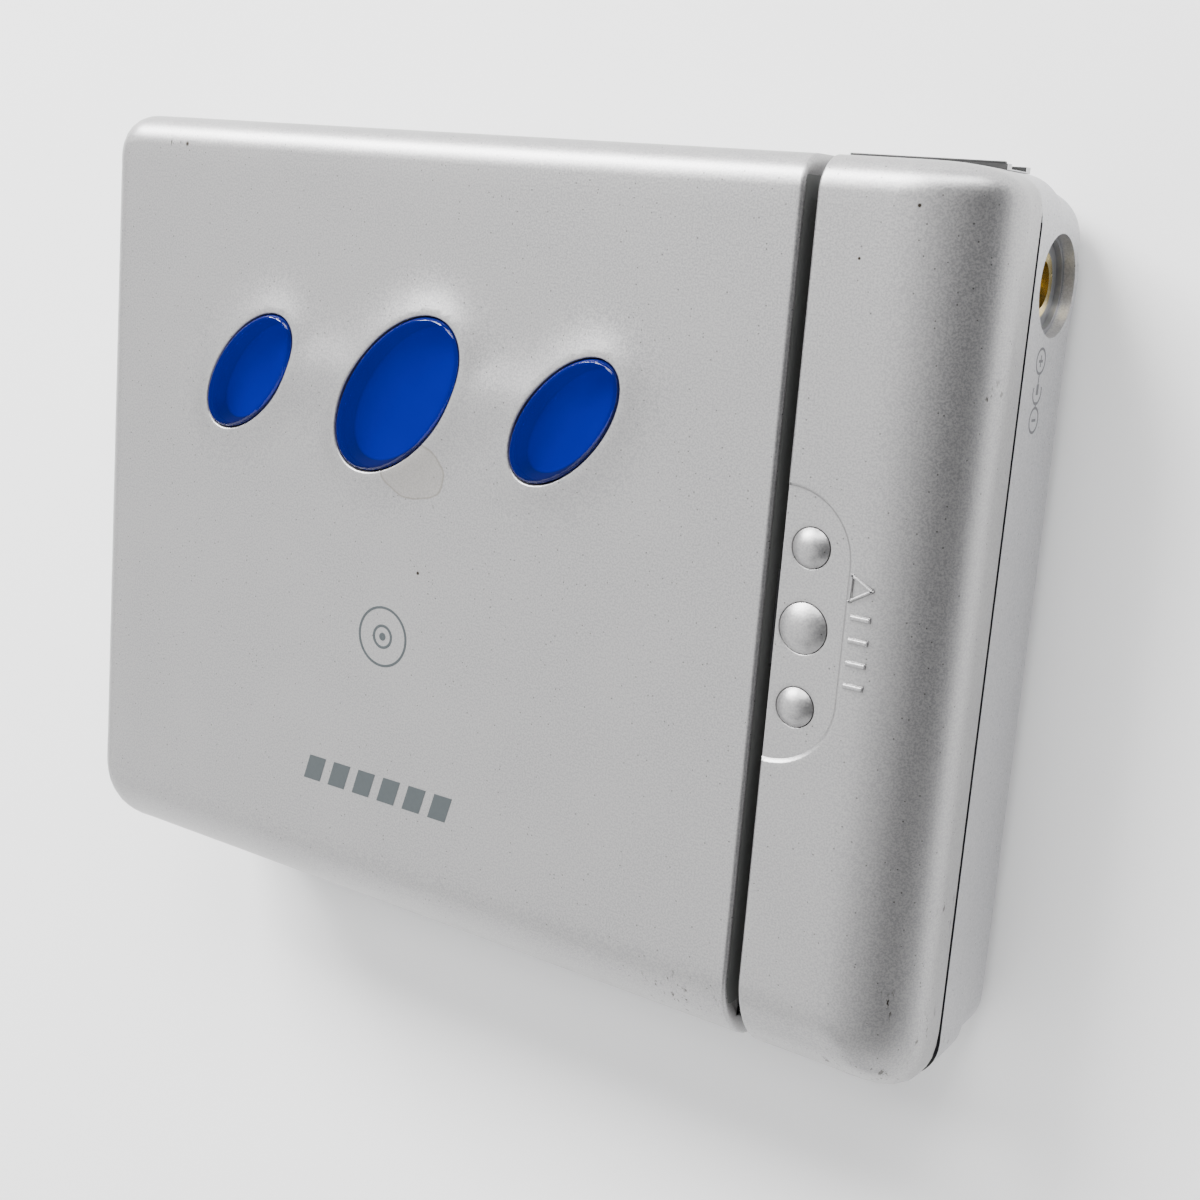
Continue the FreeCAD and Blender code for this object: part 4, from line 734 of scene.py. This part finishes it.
def ellipse_outline(x, long_half, short_half):
    """Rough distance from a slanted key oval."""
    cos, sin = math.cos(KEY_TURN), math.sin(KEY_TURN)

    def outline(px, py):
        u = (px - x) * cos + (py - KEY_Y) * sin
        v = -(px - x) * sin + (py - KEY_Y) * cos
        rho = math.hypot(u / long_half, v / short_half)
        if rho < 1e-6:
            return -short_half
        slope = math.hypot(u / long_half ** 2, v / short_half ** 2) / rho
        return (rho - 1.0) / slope

    return outline


OUTLINES = {node: ellipse_outline(*spec) for node, spec in KEYS.items()}


def window_outline(x, y):
    """Distance from the D shape of the release window."""
    right = STRIP_LOW.x + WINDOW_DEEP
    qx = x - (right - WINDOW_ROUND)
    qy = abs(y - DECK_Y) - (WINDOW_HALF - WINDOW_ROUND)
    outside = math.hypot(max(qx, 0.0), max(qy, 0.0))
    return outside + min(max(qx, qy), 0.0) - WINDOW_ROUND


# ---- lid and keys

def mound_rise(x, y):
    """Height of the soft swellings round the keys, and of the low ridge that joins them."""
    blend = 3
    ends = [spec[0] for spec in KEYS.values()]
    beside = max(min(ends) - x, x - max(ends), 0.0)
    away = math.hypot(beside, y - KEY_Y - RIDGE_SHIFT)
    if away > 5 * RIDGE_REACH:
        return 0.0
    total = (RIDGE_TALL * math.exp(-(away / RIDGE_REACH) ** 2)) ** blend
    for node, outline in OUTLINES.items():
        away = max(0.0, outline(x, y) + MOUND_START)
        tall = MOUND_TALL if node == "play_key" else MOUND_TALL * SIDE_MOUND
        total += (tall * math.exp(-(away / MOUND_REACH) ** 2)) ** blend
    return total ** (1.0 / blend) if total > 1e-9 else 0.0


def lid_height(x, y):
    return FACE + mound_rise(x, y)


def lid_wall_bottom(x, y):
    """Lower edge of the lid's walls, with hinge notches and the cartridge mouth."""
    if x < LID_LOW.x + 6.1 and HINGE_NOTCH[0] < abs(y) < HINGE_NOTCH[1]:
        return HINGE_NOTCH_TOP
    if x > LID_HIGH.x - 2.5 and MOUTH[0] < y < MOUTH[1]:
        return MOUTH_TOP
    return PART_LINE + 0.1


def lid_pillow(inset):
    """Outer skin of the lid, or its inner skin when inset by the wall."""
    corners = (Corner(5.0, FRONT_ROUND, 2.8), Corner(SEAM_EDGE, FRONT_ROUND, 2.0),
               Corner(SEAM_EDGE, BACK_ROUND, 2.0), Corner(4.6, 4.6, 2.2))
    pillow = Pillow(LID_LOW, LID_HIGH, inset, FACE,
                    (FRONT_ROUND, SEAM_EDGE, BACK_ROUND, BACK_ROUND), corners)
    pillow.rise = mound_rise
    return pillow


def lid_skin():
    """The lid's shell with its mounds, key holes and rounded edges."""
    skin = shell_mesh(lid_pillow(0.0), lid_pillow(WALL), lid_wall_bottom)
    for node in KEYS:
        key_hole(skin, node)
    shade_seam_wall(skin, LID_HIGH.x)
    thing = make_object("lid_skin", skin, ("lid_paint", "inside_grey_and_seam_shade", "seam_painted_shade"),
                        "lid")
    kept_part("lid_cover", PART_LINE + 0.08, "lid_ears", "lid_paint", "lid")
    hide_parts("lid_cover")


def key_hole(skin, node):
    """One key hole through both skins: a rounded rim outside and a plain edge inside."""
    outline = OUTLINES[node]
    steps = 4
    profile = []
    for step in range(steps + 1):
        turn = math.pi / 2 * step / steps
        profile.append((HOLE_GAP + HOLE_ROUND * (1.0 - math.sin(turn)), HOLE_ROUND * (1.0 - math.cos(turn))))
    profile.append((HOLE_GAP, WALL + 0.05))
    cut_away(skin, lambda middle: middle.z > FACE - WALL - 0.6
             and outline(middle.x, middle.y) < HOLE_GAP + HOLE_ROUND)
    rims = {}
    for outside in (True, False):
        rims[outside] = open_edges(skin, lambda middle: abs(outline(middle.x, middle.y)) < 1.5 and outside
                                   == (middle.z > lid_height(middle.x, middle.y) - WALL / 2))
        even_rim(rims[outside], KEYS[node])
    lead_down(skin, rims[True], outline, profile, lambda x, y, z: lid_height(x, y), lambda z, drop: z - drop)
    lead_down(skin, rims[False], outline, [(HOLE_GAP, 0.0)], lambda x, y, z: lid_height(x, y) - WALL)


def even_rim(rim, spec):
    """Slide the points of a key hole's rim along the oval until none of them lies out of order."""
    x, long_half, short_half = spec
    edges_of = {}
    for edge in rim:
        for vert in edge.verts:
            edges_of.setdefault(vert, []).append(edge)
    edge = rim[0]
    loop = [edge.verts[0]]
    vert = edge.verts[1]
    while vert is not loop[0]:
        loop.append(vert)
        edge = next(other for other in edges_of[vert] if other is not edge)
        vert = edge.other_vert(vert)
    turns = [math.atan2(vert.co.y - KEY_Y, vert.co.x - x) for vert in loop]
    steps = [(following - now + math.pi) % (2 * math.pi) - math.pi
             for now, following in zip(turns, turns[1:] + turns[:1])]
    for _ in range(16):
        steps = [(steps[i - 1] + 2 * steps[i] + steps[(i + 1) % len(steps)]) / 4
                 for i in range(len(steps))]
    turn = turns[0]
    for vert, step in zip(loop, steps):
        across = math.cos(turn - KEY_TURN) / long_half
        beside = math.sin(turn - KEY_TURN) / short_half
        reach = 1.0 / math.hypot(across, beside)
        vert.co.x = x + reach * math.cos(turn)
        vert.co.y = KEY_Y + reach * math.sin(turn)
        turn += step


def lathe_oval(x, long_half, short_half, profile, turns=96):
    """A closed form of oval rows: each row is (inset from the outline, height)."""
    made = bmesh.new()
    cos, sin = math.cos(KEY_TURN), math.sin(KEY_TURN)
    rows = []
    for inset, z in profile:
        if inset >= short_half:
            rows.append([made.verts.new((x, KEY_Y, z))])
            continue
        row = []
        for i in range(turns):
            turn = 2 * math.pi * i / turns
            u = (long_half - inset) * math.cos(turn)
            v = (short_half - inset) * math.sin(turn)
            row.append(made.verts.new((x + u * cos - v * sin, KEY_Y + u * sin + v * cos, z)))
        rows.append(row)
    join_rows(made, rows)
    return made


def key_pieces(node):
    """One key: a clear blue cap, the coloured cup that shows through it, and its foot."""
    short_half = KEYS[node][2]
    body = node.replace("_key", "")
    top = limits(node)[1].z
    shoulder = top - KEY_BULGE
    profile = [(short_half, top)]
    for share in (0.8, 0.6, 0.4, 0.2):
        inset = KEY_EDGE + (short_half - KEY_EDGE) * share
        profile.append((inset, top - KEY_BULGE * (1.0 - share) ** 2))
    steps = 6
    for step in range(steps + 1):
        turn = math.pi / 2 * step / steps
        profile.append((KEY_EDGE * (1.0 - math.sin(turn)), shoulder - KEY_EDGE * (1.0 - math.cos(turn))))
    profile.append((0.0, KEY_FLOOR - 0.2))
    cap_mesh = lathe_oval(*KEYS[node], profile)
    for face in cap_mesh.faces:
        below = shoulder - face.calc_center_median().z
        face.material_index = int(0.1 < below < KEY_EDGE)
    cap = make_object(node + "_cap", cap_mesh, ("blue_acrylic", "blue_edge"), body)
    wall = 0.30
    skirt = 0.04
    wall_top = shoulder - KEY_EDGE - 0.05
    cup = [(short_half, KEY_FLOOR), (wall + 0.95, KEY_FLOOR), (wall + 0.62, KEY_FLOOR + 0.16),
           (wall, KEY_FLOOR + 0.95), (wall, wall_top), (skirt, wall_top - 0.05),
           (skirt, FLANGE_TOP + 0.02)]
    make_object(node + "_cup", lathe_oval(*KEYS[node], cup), ("key_inside",), body)
    kept_part(node, FLANGE_TOP + 0.02, node + "_foot", "black_plastic", body)
    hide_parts(node)


# ---- fixed strip and release

def strip_wall_bottom(x, y):
    """Lower edge of the strip's walls: it stops higher along the seam."""
    if x < STRIP_LOW.x + 1.5:
        return PART_LINE + 1.6
    towards_front = (STRIP_HIGH.y - y) / (STRIP_HIGH.y - STRIP_LOW.y)
    return PART_LINE + 0.02 + 0.14 * towards_front


def strip_pillow(inset):
    """Outer or inner skin of the fixed strip."""
    corners = (Corner(SEAM_EDGE, FRONT_ROUND, 2.0), Corner(STRIP_ROUND, FRONT_ROUND, 4.2),
               Corner(STRIP_ROUND, 4.2, 3.5), Corner(SEAM_EDGE, BACK_ROUND, 2.0))
    return Pillow(STRIP_LOW, STRIP_HIGH, inset, FACE,
                  (FRONT_ROUND, STRIP_ROUND, BACK_ROUND, SEAM_EDGE), corners,
                  (FRONT_ROUND, STRIP_DROP, BACK_ROUND, SEAM_EDGE), cell=0.5, steps=12, fan=12)


def strip_skin():
    """The fixed strip with the D-shaped window of the release."""
    skin = shell_mesh(strip_pillow(0.0), strip_pillow(WALL), strip_wall_bottom)
    profile = [(WINDOW_SLOPE, 0.0), (WINDOW_SLOPE - 0.05, 0.015), (0.03, 0.31), (0.0, 0.34)]
    cut_away(skin, lambda middle: middle.z > FACE - 1.6
             and window_outline(middle.x, middle.y) < WINDOW_SLOPE)
    rim = open_edges(skin, lambda middle: middle.z > FACE - 0.6 and middle.x > STRIP_LOW.x + 0.02)
    lead_down(skin, rim, window_outline, profile, lambda x, y, z: z, lambda z, drop: min(z, FACE - drop))
    shade_seam_wall(skin, STRIP_LOW.x)
    # The third look is painted shade on the strip's wall in the seam.
    thing = make_object("strip_skin", skin, ("strip_paint", "inside_grey_and_seam_shade", "inside_grey_and_seam_shade"),
                        "case")
    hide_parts("strip_cover")


def ridge(made, start, end, width):
    """A raised stroke with sloped flanks and round-looking ends between two points."""
    low, high = FACE - 0.03, FACE + MARK_RAISE - 0.04
    along = (Vector(end) - Vector(start)).normalized()
    side = Vector((-along.y, along.x))
    start = Vector(start) - along * width / 2
    end = Vector(end) + along * width / 2
    rows = []
    for share, z, trim in ((1.0, low, 0.0), (0.72, high - 0.05, 0.12), (0.45, high, 0.2)):
        half = width / 2 * share
        a = start + along * trim * width
        b = end - along * trim * width
        corners = (a - side * half, b - side * half, b + side * half, a + side * half)
        rows.append([made.verts.new((corner.x, corner.y, z)) for corner in corners])
    join_rows(made, rows[::-1])
    made.faces.new(rows[-1])


def strip_marks():
    """The raised triangle that shows which way to push, and four raised bars beside it."""
    marks = bmesh.new()
    corners = [(40.95, 6.25), (42.75, 5.22), (40.9, 4.1)]
    for a, b in zip(corners, corners[1:] + corners[:1]):
        ridge(marks, a, b, 0.34)
    for step in range(4):
        y = 2.75 - 1.95 * step
        ridge(marks, (41.35, y), (42.65, y), 0.52)
    make_object("strip_marks", marks, ("strip_paint",), "case", 50.0)


def plate_mesh(plate_top):
    """The D-shaped plate as a fine grid with a skirt; its edge is hidden under the strip."""
    left = STRIP_LOW.x + 0.06
    width = WINDOW_DEEP + PLATE_HIDDEN - 0.06
    front = DECK_Y - WINDOW_HALF - PLATE_HIDDEN
    length = 2 * (WINDOW_HALF + PLATE_HIDDEN)
    cell = 0.35
    count_x = round(width / cell)
    count_y = round(length / cell)
    made = bmesh.new()
    grid = []
    for j in range(count_y + 1):
        grid.append([made.verts.new((left + width * i / count_x, front + length * j / count_y, plate_top))
                     for i in range(count_x + 1)])
    for j in range(count_y):
        for i in range(count_x):
            made.faces.new((grid[j][i], grid[j][i + 1], grid[j + 1][i + 1], grid[j + 1][i]))
    cut_away(made, lambda middle: window_outline(middle.x, middle.y) > PLATE_HIDDEN)
    for vert in made.verts:
        if vert.is_boundary and vert.co.x > left + 0.01:
            value, dx, dy, _ = slope_of(window_outline, vert.co.x, vert.co.y)
            vert.co.x -= dx * (value - PLATE_HIDDEN)
            vert.co.y -= dy * (value - PLATE_HIDDEN)
    skirt = [edge for edge in made.edges if edge.is_boundary]
    drop = bmesh.ops.extrude_edge_only(made, edges=skirt)
    for vert in [item for item in drop["geom"] if isinstance(item, bmesh.types.BMVert)]:
        vert.co.z -= PLATE_SKIRT
    return made


def release_plate():
    """The sliding D plate with three round grips, each in a hole with a fine groove round it."""
    plate_top = FACE - PLATE_DROP
    made = plate_mesh(plate_top)
    low = plate_top - 0.1
    groove = [(0.14, 0.0), (0.09, 0.02), (0.06, 0.07), (0.06, 0.3)]
    for centre, radius in DOMES:
        def outline(x, y):
            return math.hypot(x - centre[0], y - centre[1]) - radius

        cut_away(made, lambda middle: middle.z > low and outline(middle.x, middle.y) < groove[0][0])
        rim = open_edges(made, lambda middle: middle.z > low and abs(outline(middle.x, middle.y)) < 1.5)
        lead_down(made, rim, outline, groove, lambda x, y, z: plate_top, lambda z, drop: z - drop)
    for centre, radius in DOMES:
        sphere = (radius * radius + DOME_TALL * DOME_TALL) / (2 * DOME_TALL)
        profile = []
        for step in range(11):
            r = radius * step / 10
            profile.append((r, plate_top - (sphere - DOME_TALL) + math.sqrt(sphere * sphere - r * r)))
        profile += [(radius - 0.01, plate_top - 0.04), (radius - 0.02, plate_top - 0.28)]
        join_rows(made, [circle(made, centre, r, z, 64) for r, z in profile])
    thing = make_object("release_plate", made, ("strip_paint",), "release", 40.0)
    kept_part("open_slider", limits("open_slider")[0].z + 1.45, "release_stem", "black_plastic",
              "release")
    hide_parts("open_slider")


def release_spring():
    """The return spring behind the slider, given a mesh of its own; the real one shortens as the slider
    moves.
    """
    low, high = limits("release_spring")
    spring = kept_part("release_spring", high.z + 1.0, "return_spring", "spring_steel",
                       "case")
    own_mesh(spring)
    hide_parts("release_spring")


def panel_lip():
    """The thin raised edge along the top of the dark side panel."""
    low, high = limits("side_panel")
    proud = 0.18
    tall = 0.5
    lip = bmesh.new()
    bmesh.ops.create_cube(lip, size=1.0)
    bmesh.ops.scale(lip, vec=(high.x - low.x - 0.6, proud, tall), verts=lip.verts)
    bmesh.ops.translate(lip, vec=((low.x + high.x) / 2, high.y + proud / 2, high.z - tall / 2),
                        verts=lip.verts)
    bmesh.ops.bevel(lip, geom=lip.edges[:], offset=0.06, segments=2, affect="EDGES", profile=0.5)
    make_object("panel_lip", lip, ("side_black",), "case")


# ---- marks on the lid

def flat_ring(made, centre, outer, inner, low, high, turns=72):
    """A flat ring or disc that stands a little above the face."""
    edge = 0.02
    rows = [circle(made, centre, radius, z, turns)
            for radius, z in ((outer, low), (outer - edge, high), (inner + edge, high), (inner, low))]
    join_rows(made, rows[::-1])


def lid_marks():
    """Generic printed marks: a plain disc sign and a row of slanted bars."""
    low = FACE - 0.01
    high = FACE + 0.025
    disc = bmesh.new()
    centre = (-8.7, -9.2)
    flat_ring(disc, centre, 3.1, 2.82, low, high)
    flat_ring(disc, centre, 1.25, 0.95, low, high)
    flat_ring(disc, centre, 0.42, 0.02, low, high, 32)
    make_object("lid_disc_sign", disc, ("mark_ink",), "lid")
    bars = bmesh.new()
    slant = 0.75
    width = 2.2
    front, back = -26.2, -23.6
    for step in range(6):
        x = -18.2 + step * 3.3
        corners = ((x, front), (x + width, front), (x + width + slant, back), (x + slant, back))
        bottom = [bars.verts.new((*corner, low)) for corner in corners]
        top = [bars.verts.new((*corner, high)) for corner in corners]
        bars.faces.new(top)
        join_rows(bars, [top, bottom])
    make_object("lid_bars", bars, ("mark_ink",), "lid")


# ---- CAD pieces keep their shape

CAD_LOOKS = {
    "base_paint": ("base_case", "battery_door", "volume_down_key", "volume_up_key"),
    "spring_steel": ("key_domes", "lid_spring", "battery_spring", "battery_contact"),
    "sheet_steel": ("disc_holder", "lid_catch", "chassis_plate", "spindle_base", "rotor_cup",
                    "sled_motor", "motor_bracket"),
    "turned_steel": ("holder_screws", "hinge_pins", "chassis_screws", "strip_screw",
                     "spindle_shaft", "guide_rod", "lead_screw", "motor_shaft"),
    "black_plastic": ("release_retainer", "turntable", "lens_actuator", "headphone_jack",
                      "hold_knob", "hold_switch", "volume_switches"),
    "side_black": ("side_panel",),
    "foot_rubber": ("rubber_feet",),
    "coil_copper": ("spindle_coils",),
    "magnet_grey": ("rotor_magnet", "clamp_magnet"),
    "cast_metal": ("pickup_sled",),
    "natural_plastic": ("screw_gear", "board_connector"),
    "plated_brass": ("motor_pinion", "inlet_sleeve", "inlet_pin", "headphone_bush"),
    "chip_black": ("decoder_chip", "servo_chip", "driver_chip", "board_parts"),
    "film_amber": ("key_circuit",),
    "coated_lens": ("objective_lens",),
    "inlet_grey": ("inlet_housing",),
    "solder_mask": ("main_board",),
}


def dress_cad():
    """Give every CAD piece that stays visible its node material."""
    for look, nodes in CAD_LOOKS.items():
        for node in nodes:
            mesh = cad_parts[node].data
            mesh.materials.clear()
            mesh.materials.append(LOOKS[look])


# ---- studio

# Area lights that face the object: name, place in metres, size in metres, power in watts.
LIGHTS = (
    ("window_left", (-0.64, 0.60, 0.42), (0.30, 0.30), 14.0),
    ("window_right", (-0.36, 0.72, 0.50), (0.30, 0.30), 14.0),
    ("high_window", (-0.46, 0.46, 0.76), (0.7, 0.18), 4.6),
    ("back_light", (0.14, 0.80, 0.58), (0.35, 0.35), 6.5),
    ("sky_light", (-0.52, -0.30, 0.80), (1.1, 0.95), 6.0),
    ("faint_sky", (0.10, -0.25, 0.96), (0.6, 0.9), 1.4),
    ("left_low", (-0.95, -0.15, 0.32), (0.5, 1.0), 1.8),
    ("front_fill", (-0.45, -0.80, 0.25), (0.9, 0.5), 3.0),
    ("front_right", (0.50, -0.84, 0.28), (1.1, 0.6), 3.5),
    ("corner_light", (0.42, 0.80, 0.40), (0.4, 0.4), 5.0),
)
FLOOR_HALF = 1.3
HAZE = {"From Min": 0.02, "From Max": 0.22, "To Min": 0.85, "To Max": 0.13}
CAMERA_PLACE = (96.47, 33.96, 146.85)
CAMERA_TURN = (-7.8039, 32.6877, 5.5049)
CAMERA_LENS = 50.48
CAMERA_SHIFT = (-0.01956, -0.05563)


def pale_floor():
    """A plain pale floor."""
    half = FLOOR_HALF
    mesh = bpy.data.meshes.new("floor")
    mesh.from_pydata([(-half, -half, 0), (half, -half, 0), (half, half, 0), (-half, half, 0)],
                     [], [(0, 1, 2, 3)])
    mesh.materials.append(LOOKS["floor_white"])
    floor = bpy.data.objects.new("floor", mesh)
    bpy.context.scene.collection.objects.link(floor)


def hazy_world():
    """A soft grey surround that is paler towards the horizon."""
    world = bpy.data.worlds.new("studio")
    bpy.context.scene.world = world
    world.use_nodes = True
    tree = world.node_tree
    background = tree.nodes["Background"]
    background.inputs["Color"].default_value = (0.93, 0.95, 1.0, 1.0)
    direction = tree.nodes.new("ShaderNodeTexCoord")
    parts = tree.nodes.new("ShaderNodeSeparateXYZ")
    tree.links.new(direction.outputs["Generated"], parts.inputs[0])
    haze = tree.nodes.new("ShaderNodeMapRange")
    haze.interpolation_type = "SMOOTHSTEP"
    for key, amount in HAZE.items():
        haze.inputs[key].default_value = amount
    tree.links.new(parts.outputs["Z"], haze.inputs["Value"])
    tree.links.new(haze.outputs["Result"], background.inputs["Strength"])


def soft_lights():
    for name, place, size, power in LIGHTS:
        light = bpy.data.lights.new(name, "AREA")
        light.shape = "RECTANGLE"
        light.size, light.size_y = size
        light.energy = power
        lamp = bpy.data.objects.new(name, light)
        lamp.location = place
        lamp.rotation_euler = Vector((0, 0, 1)).rotation_difference(Vector(place)).to_euler()
        bpy.context.scene.collection.objects.link(lamp)


def place_camera():
    """The camera at the photograph's viewing angle."""
    lens = bpy.data.cameras.new("camera")
    lens.sensor_width = 36.0
    lens.lens = CAMERA_LENS
    lens.shift_x, lens.shift_y = CAMERA_SHIFT
    lens.clip_start = 0.01
    camera = bpy.data.objects.new("camera", lens)
    camera.location = Vector(CAMERA_PLACE) * MM
    camera.rotation_euler = Euler([math.radians(angle) for angle in CAMERA_TURN], "XYZ")
    bpy.context.scene.collection.objects.link(camera)
    bpy.context.scene.camera = camera


pale_floor()
hazy_world()
soft_lights()
place_camera()
dress_cad()
lid_skin()
for key in KEYS:
    key_pieces(key)
strip_skin()
strip_marks()
release_plate()
release_spring()
lid_marks()
panel_lip()
